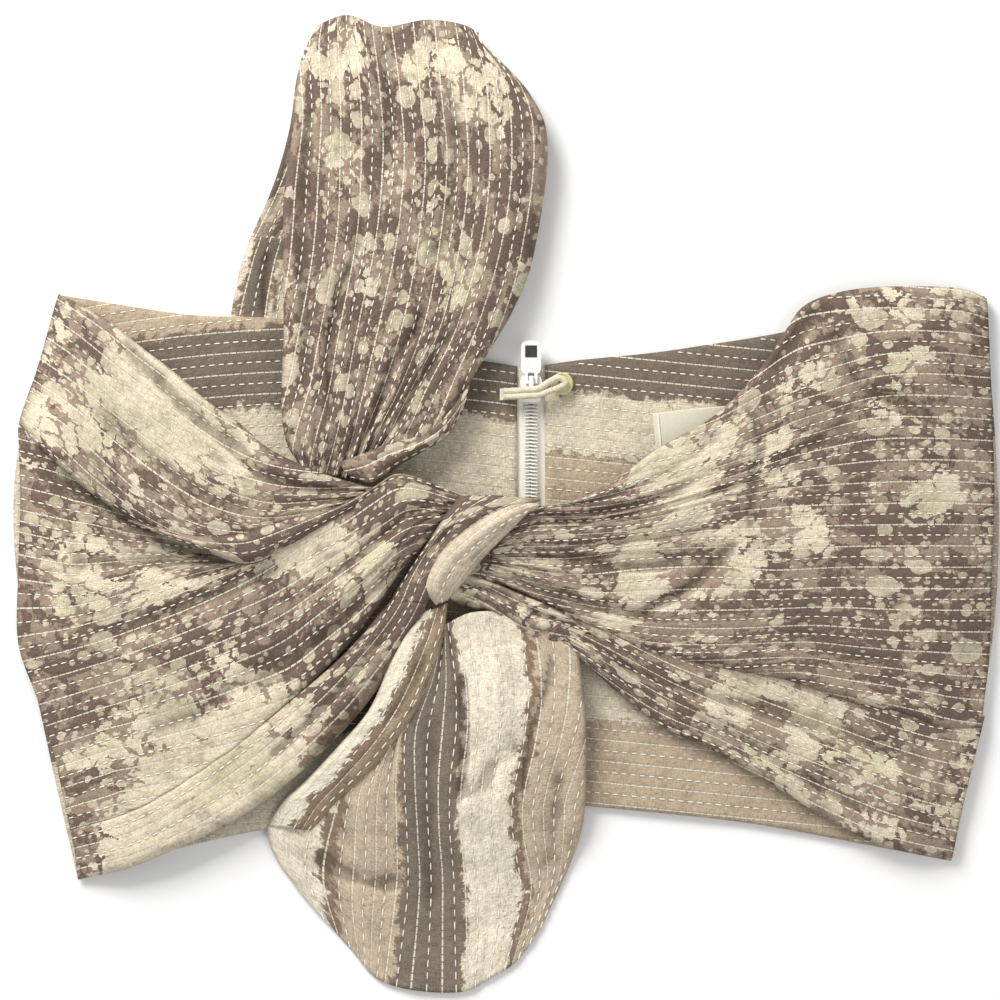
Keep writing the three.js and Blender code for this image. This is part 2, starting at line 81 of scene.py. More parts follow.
table_mesh = bpy.data.meshes.new("table")
reach = 3.0
table_mesh.from_pydata(
    [(-reach, -reach, -0.0004), (reach, -reach, -0.0004), (reach, reach, -0.0004),
     (-reach, reach, -0.0004)],
    [], [(0, 1, 2, 3)],
)
table = bpy.data.objects.new("table", table_mesh)
bpy.context.scene.collection.objects.link(table)


def new_material(name, roughness=0.9):
    """A Principled material, with its node tree and its shader."""
    material = bpy.data.materials.new(name)
    material.use_nodes = True
    shader = material.node_tree.nodes["Principled BSDF"]
    shader.inputs["Roughness"].default_value = roughness
    return material, material.node_tree, shader


table_paint, tree, shader = new_material("table_paint")
shader.inputs["Base Color"].default_value = (0.97, 0.97, 0.965, 1)
table_mesh.materials.append(table_paint)


# Back band ---------------------------------------------------------------------------------------
# Two halves of printed cotton lined with the banded reverse, joined by the zip at the centre back.
# The lining faces up inside the neckline; the outer lies on the table.

# Every length of cloth is laid between guide lines that run the way its stitches run, from
# its outer end in to the knot. Creases are pressed in along plan lines, and rows of stitch pucker it.

stitch_pitch = 4.5
cloth_thickness = 0.9
edge_roll_reach = 4.5


def smooth_line(points, count):
    """count places evenly spaced along a smooth line through the points."""
    p = np.array(points, float)
    ends = np.vstack([2 * p[0] - p[1], p, 2 * p[-1] - p[-2]])
    fine = []
    for a, b, c, d in zip(ends, ends[1:], ends[2:], ends[3:]):
        t = np.linspace(0, 1, 24, endpoint=False)[:, None]
        fine.append(0.5 * (2 * b + (c - a) * t + (2 * a - 5 * b + 4 * c - d) * t**2
                           + (3 * b - a - 3 * c + d) * t**3))
    fine = np.vstack([*fine, p[-1:]])
    run = np.concatenate([[0], np.cumsum(np.linalg.norm(np.diff(fine, axis=0), axis=1))])
    at = np.linspace(0, run[-1], count)
    return np.stack([np.interp(at, run, fine[:, k]) for k in range(fine.shape[1])], axis=1)


def ripple(x, y, cell_x, cell_y, seed):
    """Smooth seeded waves from -1 to 1, one to each cell of the given size."""
    cells = 64
    lattice = np.random.RandomState(seed).uniform(-1, 1, (cells, cells))
    gx, gy = x / cell_x + 16.3, y / cell_y + 16.7
    ix, iy = np.floor(gx).astype(int), np.floor(gy).astype(int)
    fx, fy = gx - ix, gy - iy
    fx, fy = fx * fx * (3 - 2 * fx), fy * fy * (3 - 2 * fy)
    pick = lambda i, j: lattice[i % cells, j % cells]
    low = pick(ix, iy) * (1 - fx) + pick(ix + 1, iy) * fx
    high = pick(ix, iy + 1) * (1 - fx) + pick(ix + 1, iy + 1) * fx
    return low * (1 - fy) + high * fy


def crease_shape(x, y, path, depth, width, lap=0.0):
    """How far a crease along a plan line moves the cloth: a valley of that depth and width, or with
    lap a step that lifts the cloth on the line's left. It fades towards the line's ends."""
    line = smooth_line(path, 40)
    fade_steepness = 5
    best = np.full(x.shape, 1e9)
    along = np.zeros(x.shape)
    side = np.zeros(x.shape)
    for k, (a, b) in enumerate(zip(line, line[1:])):
        d = b - a
        t = np.clip(((x - a[0]) * d[0] + (y - a[1]) * d[1]) / (d @ d), 0, 1)
        px, py = x - a[0] - t * d[0], y - a[1] - t * d[1]
        dist = np.hypot(px, py)
        near = dist < best
        best = np.where(near, dist, best)
        along = np.where(near, (k + t) / (len(line) - 1), along)
        side = np.where(near, d[0] * py - d[1] * px, side)
    fade = np.clip(np.minimum(along, 1 - along) * fade_steepness, 0, 1)
    fade = fade * fade * (3 - 2 * fade)
    signed = np.sign(side) * best
    step = lap * np.exp(-np.clip(signed, 0, None) / (width * 2.5)) * (signed > -width * 0.25)
    return fade * (step - 1.35 * depth * np.exp(-((best / width) ** 2)))


def between_guides(lines, share, at):
    """Places across the guide lines at the shares of the width in at, along a smooth curve."""
    slope = np.gradient(lines, share, axis=1)
    k = np.clip(np.searchsorted(share, at, side="right") - 1, 0, len(share) - 2)
    gap = (share[k + 1] - share[k])[None, :, None]
    t = (at - share[k])[None, :, None] / gap
    from_a = (2 * t**3 - 3 * t**2 + 1) * lines[:, k] + (t**3 - 2 * t**2 + t) * slope[:, k] * gap
    to_b = (3 * t**2 - 2 * t**3) * lines[:, k + 1] + (t**3 - t**2) * slope[:, k + 1] * gap
    return from_a + to_b


def lay_patch(guides, creases=(), grain=1.5, rows=None, first_row=0.0, roll=(1.5, 1.5), waves=0.6,
              seed=1, gathers=(14.0, 1.6), widest=0.15, roll_from=(-1, -1), pucker=0.3, tucked=0.55):
    """One stretch of cloth as arrays: its places in mm and its stitch-wise coordinates in mm. The
    guides run with the stitches; widest is how far along them the cloth lies at its full width."""
    rough_count = 80
    rough = np.stack([smooth_line(g, rough_count) for g in guides], axis=1)
    mean_length = np.linalg.norm(np.diff(rough, axis=0), axis=2).sum(axis=0).mean()
    spread = np.linalg.norm(np.diff(rough[int(widest * (rough_count - 1))], axis=0), axis=1)
    share = np.concatenate([[0], np.cumsum(spread)]) / spread.sum()
    reference = spread.sum()
    nu, nv = int(mean_length / grain) + 2, int(reference / grain) + 3
    at = np.linspace(0, 1, nv)
    lines = np.stack([smooth_line(g, nu) for g in guides], axis=1)
    place = between_guides(lines, share, at)
    u = np.linspace(0, 1, nu)[:, None] * mean_length + np.zeros((1, nv))
    across = at[None, :] * reference + np.zeros((nu, 1))
    x, y = place[..., 0], place[..., 1]
    step = np.linalg.norm(np.gradient(place, axis=1), axis=2)
    narrowed = np.clip(step.sum(axis=1)[:, None] / reference, 0.1, 1) ** tucked
    v = first_row + reference / 2 + (across - reference / 2) * narrowed
    if rows is not None:
        v = rows(x, y)
    crowd = np.clip(step * (nv - 1) / reference, 0.05, 1.2)
    z = place[..., 2].copy()
    z += waves * (ripple(x, y, 30, 24, seed) + 0.6 * ripple(x, y, 13, 11, seed + 1))
    z += 0.35 * waves * ripple(x, y, 5.5, 5, seed + 2)
    wide, high = gathers
    phase = across / wide + 0.5 * ripple(u, across, 60, 25, seed + 5)
    folds = np.sin(2 * math.pi * phase) + 0.45 * np.sin(2 * math.pi * (phase * 2.3 + 0.2))
    z += high * np.clip(1.02 - crowd, 0, 1) ** 1.3 * folds * 0.7
    pressed = sum([crease_shape(x, y, **crease) for crease in creases], np.zeros(x.shape))
    z += pressed
    # fold: how deep the cloth lies below its blurred surroundings, deepened along the pressed creases; the
    # material paints shade into the creases by it.
    fold = np.clip((blurred(blurred(z, 3), 2) - z) / 0.9 - 0.24 * pressed, -1, 1)
    z += pucker * np.clip(crowd / narrowed, 0.3, 1) * np.abs(np.sin(math.pi * v / stitch_pitch)) ** 0.7
    from_first = np.cumsum(step, axis=1) - step
    from_last = from_first[:, -1:] - from_first
    share_along = np.linspace(0, 1, nu)[:, None]
    for away, amount, start in ((from_first, roll[0], roll_from[0]), (from_last, roll[1], roll_from[1])):
        grown = np.clip((share_along - start) / 0.25, 0, 1) if start >= 0 else 1.0
        z -= grown * amount * np.clip(1 - away / edge_roll_reach, 0, 1) ** 2
    return {"place": np.stack([x, y, z], axis=-1), "u": u, "v": v, "fold": fold,
            "crowd": np.clip(crowd / narrowed, 0, 1)}


def blurred(z, reach):
    """A height field averaged over reach cells to each side."""
    for axis in (0, 1):
        margins = [(reach, reach) if k == axis else (0, 0) for k in (0, 1)]
        wide = np.pad(z, margins, mode="edge")
        count = z.shape[axis]
        shifted = [np.take(wide, range(k, k + count), axis=axis) for k in range(2 * reach + 1)]
        z = sum(shifted) / len(shifted)
    return z


def part_of(patch, start, end):
    """The stretch of a patch between two shares of its length."""
    last = len(patch["u"]) - 1
    keep = slice(round(start * last), round(end * last) + 1)
    return {name: grid[keep] for name, grid in patch.items()}


def normals_of(place):
    du = np.gradient(place, axis=0)
    dv = np.gradient(place, axis=1)
    n = np.cross(du, dv)
    return n / np.maximum(np.linalg.norm(n, axis=-1, keepdims=True), 1e-9)


def build_cloth(name, patches, faces_up, under, pale=(), thickness=cloth_thickness):
    """A cloth piece from its patches: a solid sheet of two materials, with UVs in metres that run
    with the stitches, the attribute that says where its print is paler, and the fold attribute that
    says how deep its creases lie, by which the material paints shade into them."""
    places, faces, uv, area = [], [], [], 0.0
    start = 0
    for patch in patches:
        place = patch["place"]
        nu, nv = place.shape[:2]
        up = normals_of(place)[..., 2].mean() > 0
        index = start + np.arange(nu * nv).reshape(nu, nv)
        quads = np.stack([index[:-1, :-1], index[1:, :-1], index[1:, 1:], index[:-1, 1:]], axis=-1)
        quads = quads.reshape(-1, 4)
        faces.append(quads if up else quads[:, ::-1])
        places.append(place.reshape(-1, 3))
        uv.append(np.stack([patch["u"], patch["v"]], axis=-1).reshape(-1, 2))
        cell = np.cross(place[1:, :-1] - place[:-1, :-1], place[:-1, 1:] - place[:-1, :-1])
        area += np.linalg.norm(cell, axis=-1).sum()
        start += nu * nv
    places, faces, uv = np.vstack(places), np.vstack(faces), np.vstack(uv)
    mesh = bpy.data.meshes.new(name)
    mesh.from_pydata((places * MM).tolist(), [], faces.tolist())
    layer = mesh.uv_layers.new(name="stitchwise")
    loops = np.zeros(len(mesh.loops), int)
    mesh.loops.foreach_get("vertex_index", loops)
    layer.uv.foreach_set("vector", (uv[loops] * MM).astype(np.float32).ravel())
    tone = np.zeros(len(places))
    for x, y, radius, value in pale:
        tone += value * np.exp(-(((places[:, 0] - x) ** 2 + (places[:, 1] - y) ** 2) / radius**2))
    hollow = np.concatenate([patch["fold"].ravel() for patch in patches])
    for label, values in (("pale", tone), ("fold", hollow)):
        mesh.attributes.new(label, "FLOAT", "POINT").data.foreach_set("value", values.astype(np.float32))
    mesh.shade_smooth()
    cloth = bpy.data.objects.new(name, mesh)
    bpy.context.scene.collection.objects.link(cloth)
    mesh.materials.append(faces_up)
    mesh.materials.append(under)
    solid = cloth.modifiers.new("thickness", "SOLIDIFY")
    solid.thickness = thickness * MM
    solid.offset = -1
    solid.material_offset = 1
    apply_modifiers(cloth)
    return cloth, area * MM * MM


def apply_modifiers(piece):
    """Bakes a piece's modifiers into its mesh and removes them."""
    evaluated = piece.evaluated_get(bpy.context.evaluated_depsgraph_get())
    finished = bpy.data.meshes.new_from_object(evaluated)
    piece.modifiers.clear()
    old = piece.data
    piece.data = finished
    bpy.data.meshes.remove(old)


# The cotton's weave, its thin stitched rows, the splattered print and the banded reverse are groups,
# so that every piece of cloth wears the same finish with its own values.


def new_group(name, inputs, outputs):
    group = bpy.data.node_groups.new(name, "ShaderNodeTree")
    for label, kind, value in inputs:
        socket = group.interface.new_socket(label, in_out="INPUT", socket_type=kind)
        if value is not None:
            socket.default_value = value
    for label, kind in outputs:
        group.interface.new_socket(label, in_out="OUTPUT", socket_type=kind)
    return group, group.nodes.new("NodeGroupInput"), group.nodes.new("NodeGroupOutput")


def add_node(tree, kind, settings=None, **inputs):
    """A node with its settings, and with each named input set to a value or joined to a socket."""
    node = tree.nodes.new("ShaderNode" + kind)
    for key, value in (settings or {}).items():
        setattr(node, key, value)
    for key, value in inputs.items():
        number = key.startswith("in")
        socket = node.inputs[int(key[2:])] if number else node.inputs[key.replace("_", " ")]
        if isinstance(value, bpy.types.NodeSocket):
            tree.links.new(value, socket)
        else:
            socket.default_value = value
    return node


def calc(tree, operation, a, b=0.0, c=0.0):
    return add_node(tree, "Math", {"operation": operation}, in0=a, in1=b, in2=c).outputs[0]


def ramp_up(tree, value, low, high):
    """0 below low, 1 above high."""
    node = add_node(tree, "MapRange", {"interpolation_type": "SMOOTHSTEP"}, Value=value, From_Min=low,
                    From_Max=high)
    return node.outputs["Result"]


def blend_colour(tree, factor, a, b, mode="MIX"):
    node = add_node(tree, "Mix", {"data_type": "RGBA", "blend_type": mode}, in0=factor, in6=a, in7=b)
    return node.outputs[2]


FLOAT, VECTOR, COLOUR = "NodeSocketFloat", "NodeSocketVector", "NodeSocketColor"

# Weave: slubby warp and weft threads. Place is in millimetres, along and across the stitch rows.
weave, gin, gout = new_group("slub_weave", [("Place", VECTOR, None)],
                             [("Tone", FLOAT), ("Height", FLOAT)])
tones = []
for scale in ((0.35, 3.2, 1.0), (3.2, 0.35, 1.0)):
    stretched = add_node(weave, "VectorMath", {"operation": "MULTIPLY"},
                         in0=gin.outputs["Place"], in1=scale)
    slub = add_node(weave, "TexNoise", {"noise_dimensions": "2D"}, Vector=stretched.outputs[0], Scale=1.0,
                    Detail=3.0, Roughness=0.6)
    tones.append(slub.outputs["Fac"])
both = calc(weave, "MULTIPLY", calc(weave, "ADD", tones[0], tones[1]), 0.5)
weave.links.new(both, gout.inputs["Height"])
weave.links.new(calc(weave, "MULTIPLY", both, 2.0), gout.inputs["Tone"])

# Thin rows: every second row is one fine, nearly unbroken thread. The bold rows are real stitches.
thin_rows, gin, gout = new_group(
    "thin_stitch_rows", [("Place", VECTOR, None), ("Pitch", FLOAT, stitch_pitch)],
    [("Thread", FLOAT), ("Groove", FLOAT)])
parts = add_node(thin_rows, "SeparateXYZ", Vector=gin.outputs["Place"])
row = calc(thin_rows, "DIVIDE", parts.outputs["Y"], gin.outputs["Pitch"])
off_row = calc(thin_rows, "FRACT", row)
to_row = calc(thin_rows, "MINIMUM", off_row, calc(thin_rows, "SUBTRACT", 1.0, off_row))
to_row_mm = calc(thin_rows, "MULTIPLY", to_row, gin.outputs["Pitch"])
nearest = calc(thin_rows, "ROUND", row)
odd = calc(thin_rows, "ABSOLUTE", calc(thin_rows, "MODULO", nearest, 2.0))
wander = add_node(thin_rows, "TexNoise", {"noise_dimensions": "2D"}, Vector=gin.outputs["Place"],
                  Scale=0.6, Detail=1.0)
wide = calc(thin_rows, "MULTIPLY_ADD", wander.outputs["Fac"], 0.3, 0.12)
close = calc(thin_rows, "LESS_THAN", to_row_mm, wide)
beat = calc(thin_rows, "FRACT", calc(thin_rows, "MULTIPLY_ADD", nearest, 0.37,
                                     calc(thin_rows, "DIVIDE", parts.outputs["X"], 3.1)))
unbroken = calc(thin_rows, "LESS_THAN", beat, 0.88)
thread = calc(thin_rows, "MULTIPLY", calc(thin_rows, "MULTIPLY", close, odd), unbroken)
thin_rows.links.new(thread, gout.inputs["Thread"])
# Groove is 1 on a row and 0 from 1.1 mm off it: it dents the cloth, and it is also painted shade along the
# rows.
groove = add_node(thin_rows, "MapRange", Value=to_row_mm, From_Min=1.1, From_Max=0.0)
thin_rows.links.new(groove.outputs["Result"], gout.inputs["Groove"])

# Splatter: jagged pale islands and round droplets of several sizes on two browns.
splatter, gin, gout = new_group(
    "camouflage_splatter",
    [("Place", VECTOR, None), ("Pale", FLOAT, 0.0), ("Dark", COLOUR, None), ("Middle", COLOUR, None),
     ("Cream", COLOUR, None), ("Olive", COLOUR, None)],
    [("Colour", COLOUR), ("Print", FLOAT)])
place = gin.outputs["Place"]
drawn = add_node(splatter, "VectorMath", {"operation": "MULTIPLY"}, in0=place,
                 in1=(0.68, 1.0, 1.0)).outputs[0]
jitter = add_node(splatter, "TexNoise", {"noise_dimensions": "2D"}, Vector=place, Scale=0.55, Detail=2.0)
nudge = add_node(splatter, "VectorMath", {"operation": "MULTIPLY_ADD"}, in0=jitter.outputs["Color"],
                 in1=(2.0, 2.0, 0.0), in2=drawn)
broken = nudge.outputs[0]
islands = add_node(splatter, "TexNoise", {"noise_dimensions": "2D"}, Vector=broken, Scale=0.05, Detail=5.0,
                   Roughness=0.6)
lean = calc(splatter, "MULTIPLY_ADD", gin.outputs["Pale"], 0.16, islands.outputs["Fac"])
mosaic = add_node(splatter, "TexVoronoi", {"voronoi_dimensions": "2D", "feature": "DISTANCE_TO_EDGE"},
                  Vector=broken, Scale=0.14, Randomness=1.0)
crack = calc(splatter, "LESS_THAN", mosaic.outputs["Distance"],
             calc(splatter, "MULTIPLY_ADD", lean, -1.3, 0.93))
cream_mask = calc(splatter, "MULTIPLY", ramp_up(splatter, lean, 0.6, 0.606),
                  calc(splatter, "SUBTRACT", 1.0, crack))
middle_noise = add_node(splatter, "TexNoise", {"noise_dimensions": "2D"}, Vector=broken, Scale=0.085,
                        Detail=5.0, Roughness=0.7, Distortion=0.4)
middle_mask = ramp_up(splatter, calc(splatter, "MULTIPLY_ADD", gin.outputs["Pale"], 0.08,
                                     middle_noise.outputs["Fac"]), 0.5, 0.512)
cluster = add_node(splatter, "TexNoise", {"noise_dimensions": "2D"}, Vector=place, Scale=0.03, Detail=2.0)
rounder = add_node(splatter, "VectorMath", {"operation": "MULTIPLY_ADD"}, in0=jitter.outputs["Color"],
                   in1=(0.9, 0.9, 0.0), in2=drawn)
drops = None
for size, share in ((14.0, 0.30), (8.0, 0.30), (4.6, 0.30), (2.8, 0.28)):
    cells = add_node(splatter, "TexVoronoi", {"voronoi_dimensions": "2D"}, Vector=rounder.outputs[0],
                     Scale=1.0 / size, Randomness=1.0)
    chance = add_node(splatter, "SeparateColor", Color=cells.outputs["Color"])
    keep = calc(splatter, "MULTIPLY_ADD", cluster.outputs["Fac"], 1.3, calc(splatter, "SUBTRACT",
                chance.outputs[0], 1.22))
    radius = calc(splatter, "MULTIPLY", calc(splatter, "MULTIPLY_ADD", chance.outputs[1], share * 0.9,
                  share * 0.35), ramp_up(splatter, keep, 0.0, 0.2))
    drop = calc(splatter, "LESS_THAN", cells.outputs["Distance"], radius)
    drops = drop if drops is None else calc(splatter, "MAXIMUM", drops, drop)
light = calc(splatter, "MAXIMUM", cream_mask, calc(splatter, "MULTIPLY", drops, 0.72))
dark_or_middle = blend_colour(splatter, middle_mask, gin.outputs["Dark"], gin.outputs["Middle"])
tint = add_node(splatter, "TexNoise", {"noise_dimensions": "2D"}, Vector=place, Scale=0.035, Detail=2.0)
cream = blend_colour(splatter, ramp_up(splatter, tint.outputs["Fac"], 0.42, 0.72), gin.outputs["Cream"],
                     gin.outputs["Olive"])
specks = add_node(splatter, "TexNoise", {"noise_dimensions": "2D"}, Vector=broken, Scale=0.45, Detail=4.0,
                  Roughness=0.75)
near_edge = calc(splatter, "SUBTRACT", 1.0, ramp_up(splatter, calc(splatter, "ABSOLUTE", calc(
    splatter, "SUBTRACT", lean, 0.6)), 0.0, 0.07))
stain = calc(splatter, "MULTIPLY", ramp_up(splatter, specks.outputs["Fac"], 0.6, 0.68), near_edge)
cream_stained = blend_colour(splatter, calc(splatter, "MULTIPLY", stain, 0.55), cream,
                             gin.outputs["Middle"])
along = add_node(splatter, "VectorMath", {"operation": "MULTIPLY"}, in0=place, in1=(0.07, 0.5, 1.0))
streaks = add_node(splatter, "TexNoise", {"noise_dimensions": "2D"}, Vector=along.outputs[0], Scale=1.0,
                   Detail=5.0, Roughness=0.7)
clouds = add_node(splatter, "TexNoise", {"noise_dimensions": "2D"}, Vector=place, Scale=0.06, Detail=5.0,
                  Roughness=0.65)
worn = calc(splatter, "MULTIPLY", ramp_up(splatter, streaks.outputs["Fac"], 0.42, 0.72),
            ramp_up(splatter, clouds.outputs["Fac"], 0.4, 0.68))
cream_stained = blend_colour(splatter, calc(splatter, "MULTIPLY", worn, 0.75), cream_stained,
                             gin.outputs["Middle"])
print_colour = blend_colour(splatter, light, dark_or_middle, cream_stained)
splatter.links.new(print_colour, gout.inputs["Colour"])
splatter.links.new(light, gout.inputs["Print"])

# Bands: broad stripes along the stitch rows, with ragged, speckled edges.
bands, gin, gout = new_group("ragged_band_place", [("Place", VECTOR, None), ("Span", FLOAT, 200.0)],
                             [("Fraction", FLOAT), ("Speckle", FLOAT)])
ragged = add_node(bands, "TexNoise", {"noise_dimensions": "2D"}, Vector=gin.outputs["Place"], Scale=0.11,
                  Detail=6.0, Roughness=0.75)
parts = add_node(bands, "SeparateXYZ", Vector=gin.outputs["Place"])
shift = calc(bands, "MULTIPLY_ADD", calc(bands, "SUBTRACT", ragged.outputs["Fac"], 0.5), 19.0,
             parts.outputs["Y"])
bands.links.new(calc(bands, "DIVIDE", shift, gin.outputs["Span"]), gout.inputs["Fraction"])
dots = add_node(bands, "TexNoise", {"noise_dimensions": "2D"}, Vector=gin.outputs["Place"], Scale=0.9,
                Detail=3.0, Roughness=0.8)
patchy = add_node(bands, "TexNoise", {"noise_dimensions": "2D"}, Vector=gin.outputs["Place"], Scale=0.05)
bands.links.new(calc(bands, "MULTIPLY", ramp_up(bands, dots.outputs["Fac"], 0.56, 0.66),
                     ramp_up(bands, patchy.outputs["Fac"], 0.4, 0.6)), gout.inputs["Speckle"])


def linear(c):
    # One channel of 0 to 255 as linear light.
    return c / 255 / 12.92 if c <= 10 else ((c / 255 + 0.055) / 1.055) ** 2.4


def srgb(r, g, b):
    return linear(r), linear(g), linear(b), 1


dark_brown, mid_taupe = srgb(113, 95, 85), srgb(157, 138, 121)
cream_ground, olive_ground = srgb(225, 212, 187), srgb(205, 197, 166)
band_grey, band_ivory, band_tan = srgb(119, 108, 96), srgb(216, 205, 181), srgb(189, 170, 146)
band_brown, thread_cream = srgb(140, 120, 100), srgb(240, 232, 212)


def finish_and_shade_cotton(tree, shader, base, place):
    """Puts the weave and thin rows over a print colour, darkens it with random dirt and with painted shade
    in the creases and along the row grooves, and joins the result to the shader.
    """
    woven = add_node(tree, "Group", {"node_tree": weave}, Place=place)
    rows = add_node(tree, "Group", {"node_tree": thin_rows}, Place=place)
    toned = add_node(tree, "Mix", {"data_type": "RGBA", "blend_type": "MULTIPLY"}, in0=1.0, in6=base)
    tone = add_node(tree, "CombineColor", Red=woven.outputs["Tone"], Green=woven.outputs["Tone"],
                    Blue=woven.outputs["Tone"])
    tree.links.new(tone.outputs[0], toned.inputs[7])
    grime = add_node(tree, "TexNoise", {"noise_dimensions": "2D"}, Vector=place, Scale=0.09, Detail=6.0,
                     Roughness=0.7)
    crinkle = add_node(tree, "TexNoise", {"noise_dimensions": "2D"}, Vector=place, Scale=0.42, Detail=3.0,
                       Roughness=0.6, Distortion=0.3)
    dirt = calc(tree, "MULTIPLY", ramp_up(tree, grime.outputs["Fac"], 0.42, 0.75), 0.3)
    # Painted shade: the fold attribute darkens the cloth towards a dark brown in its creases, and the
    # groove does so along the thin rows; random dirt joins the same darkening.
    fold = add_node(tree, "Attribute", {"attribute_name": "fold"})
    hollow = calc(tree, "MULTIPLY_ADD", ramp_up(tree, fold.outputs["Fac"], 0.05, 0.95), 0.5, dirt)
    shade = calc(tree, "MULTIPLY_ADD", rows.outputs["Groove"], 0.14, hollow)
    shade_and_dirt_colour = blend_colour(tree, shade, toned.outputs[2], (0.09, 0.065, 0.045, 1))
    threaded = blend_colour(tree, calc(tree, "MULTIPLY", rows.outputs["Thread"], 0.78), shade_and_dirt_colour,
                            thread_cream)
    tree.links.new(threaded, shader.inputs["Base Color"])
    texture = calc(tree, "MULTIPLY_ADD", crinkle.outputs["Fac"], 0.7,
                   calc(tree, "MULTIPLY", woven.outputs["Height"], 0.22))
    height = calc(tree, "ADD", texture, calc(tree, "MULTIPLY_ADD", rows.outputs["Thread"], 0.16,
                  calc(tree, "MULTIPLY", rows.outputs["Groove"], -0.14)))
    bump = add_node(tree, "Bump", Strength=0.8, Distance=0.001, Height=height)
    tree.links.new(bump.outputs[0], shader.inputs["Normal"])
    tree.links.new(calc(tree, "MULTIPLY_ADD", woven.outputs["Height"], 0.16, 0.82),
                   shader.inputs["Roughness"])
    shader.inputs["Sheen Weight"].default_value = 0.04
    shader.inputs["Sheen Roughness"].default_value = 0.5
    shader.inputs["Specular IOR Level"].default_value = 0.25


mm_in_metre = 1000.0


def place_in_mm(tree, shift=(0.0, 0.0, 0.0)):
    """Where a point of cloth is, along and across its stitch rows."""
    coordinates = add_node(tree, "UVMap", {"uv_map": "stitchwise"})
    scaled = add_node(tree, "VectorMath", {"operation": "MULTIPLY_ADD"}, in0=coordinates.outputs[0],
                      in1=(mm_in_metre, mm_in_metre, 0.0), in2=shift)
    return scaled.outputs[0]


def camo_cotton(name, shift=(0.0, 0.0, 0.0)):
    """Printed cotton: the shift picks another stretch of the print, rows kept in step."""
    material, tree, shader = new_material(name)
    place = place_in_mm(tree)
    print_place = place_in_mm(tree, shift)
    pale = add_node(tree, "Attribute", {"attribute_name": "pale"})
    printed = add_node(tree, "Group", {"node_tree": splatter}, Place=print_place, Pale=pale.outputs["Fac"],
                       Dark=dark_brown, Middle=mid_taupe, Cream=cream_ground, Olive=olive_ground)
    finish_and_shade_cotton(tree, shader, printed.outputs["Colour"], place)
    return material


def banded_cotton(name, stripes, span):
    """The reverse: stripes are (where each starts in mm across the rows, its colour)."""
    material, tree, shader = new_material(name)
    place = place_in_mm(tree)
    where = add_node(tree, "Group", {"node_tree": bands}, Place=place, Span=span)
    ramp = add_node(tree, "ValToRGB", Fac=where.outputs["Fraction"])
    ramp.color_ramp.interpolation = "LINEAR"
    soft = 0.9 / span
    stops = ramp.color_ramp.elements
    stops[0].position, stops[0].color = 0.0, stripes[0][1]
    stops.remove(stops[1])
    for (_, before), (start, colour) in zip(stripes, stripes[1:]):
        for step, shown in ((-1.0, before), (0.0, band_brown), (1.4, colour)):
            made = stops.new(min(max(start / span + step * soft, 0.0), 1.0))
            made.color = shown
    speckled = blend_colour(tree, calc(tree, "MULTIPLY", where.outputs["Speckle"], 0.65),
                            ramp.outputs["Color"], band_brown)
    finish_and_shade_cotton(tree, shader, speckled, place)
    return material


plain_reverse = banded_cotton("plain_reverse", [(0, band_tan), (28, band_grey), (62, band_ivory),
                                                (100, band_tan), (150, band_grey)], 200.0)


# Every second row is sewn in thick cream cotton with gaps between the stitches. Each stitch is a
# short, plump bar of thread that dips into the cloth at both ends.

stitch_length, stitch_gap, thread_radius = 2.7, 1.2, 0.29
thread_material, tree, shader = new_material("cream_stitch_thread", 0.75)
coordinates = add_node(tree, "TexCoord")
twist = add_node(tree, "TexNoise", Vector=coordinates.outputs["Object"], Scale=1500.0, Detail=2.0)
shades = add_node(tree, "ValToRGB", Fac=twist.outputs["Fac"])
shades.color_ramp.elements[0].color = srgb(232, 224, 204)
shades.color_ramp.elements[1].color = srgb(255, 252, 240)
tree.links.new(shades.outputs[0], shader.inputs["Base Color"])
twist_bump = add_node(tree, "Bump", Strength=0.5, Distance=0.0004, Height=twist.outputs["Fac"])
tree.links.new(twist_bump.outputs[0], shader.inputs["Normal"])


def stitch_bar():
    """One stitch along X: a bar of six sides with pinched ends."""
    sides = 6
    rings = [(-0.5, 0.25, -0.25), (-0.32, 0.95, 0.0), (0.0, 1.0, 0.1), (0.32, 0.95, 0.0),
             (0.5, 0.25, -0.25)]
    verts, faces = [], []
    for along, fat, lift in rings:
        for k in range(sides):
            a = math.pi / 3 * k
            verts.append((along * stitch_length * MM, fat * math.cos(a) * thread_radius * MM,
                          (fat * math.sin(a) * 0.8 + lift) * thread_radius * MM))
    for r in range(len(rings) - 1):
        for k in range(sides):
            a, b = r * sides + k, r * sides + (k + 1) % sides
            faces.append((a, b, b + sides, a + sides))
    last_ring = (len(rings) - 1) * sides
    faces += [tuple(range(sides - 1, -1, -1)), tuple(last_ring + k for k in range(sides))]
    mesh = bpy.data.meshes.new("stitch_bar")
    mesh.from_pydata(verts, [], [tuple(reversed(f)) for f in faces])
    mesh.shade_smooth()
    return bpy.data.objects.new("stitch_bar", mesh)


stitch_source = stitch_bar()


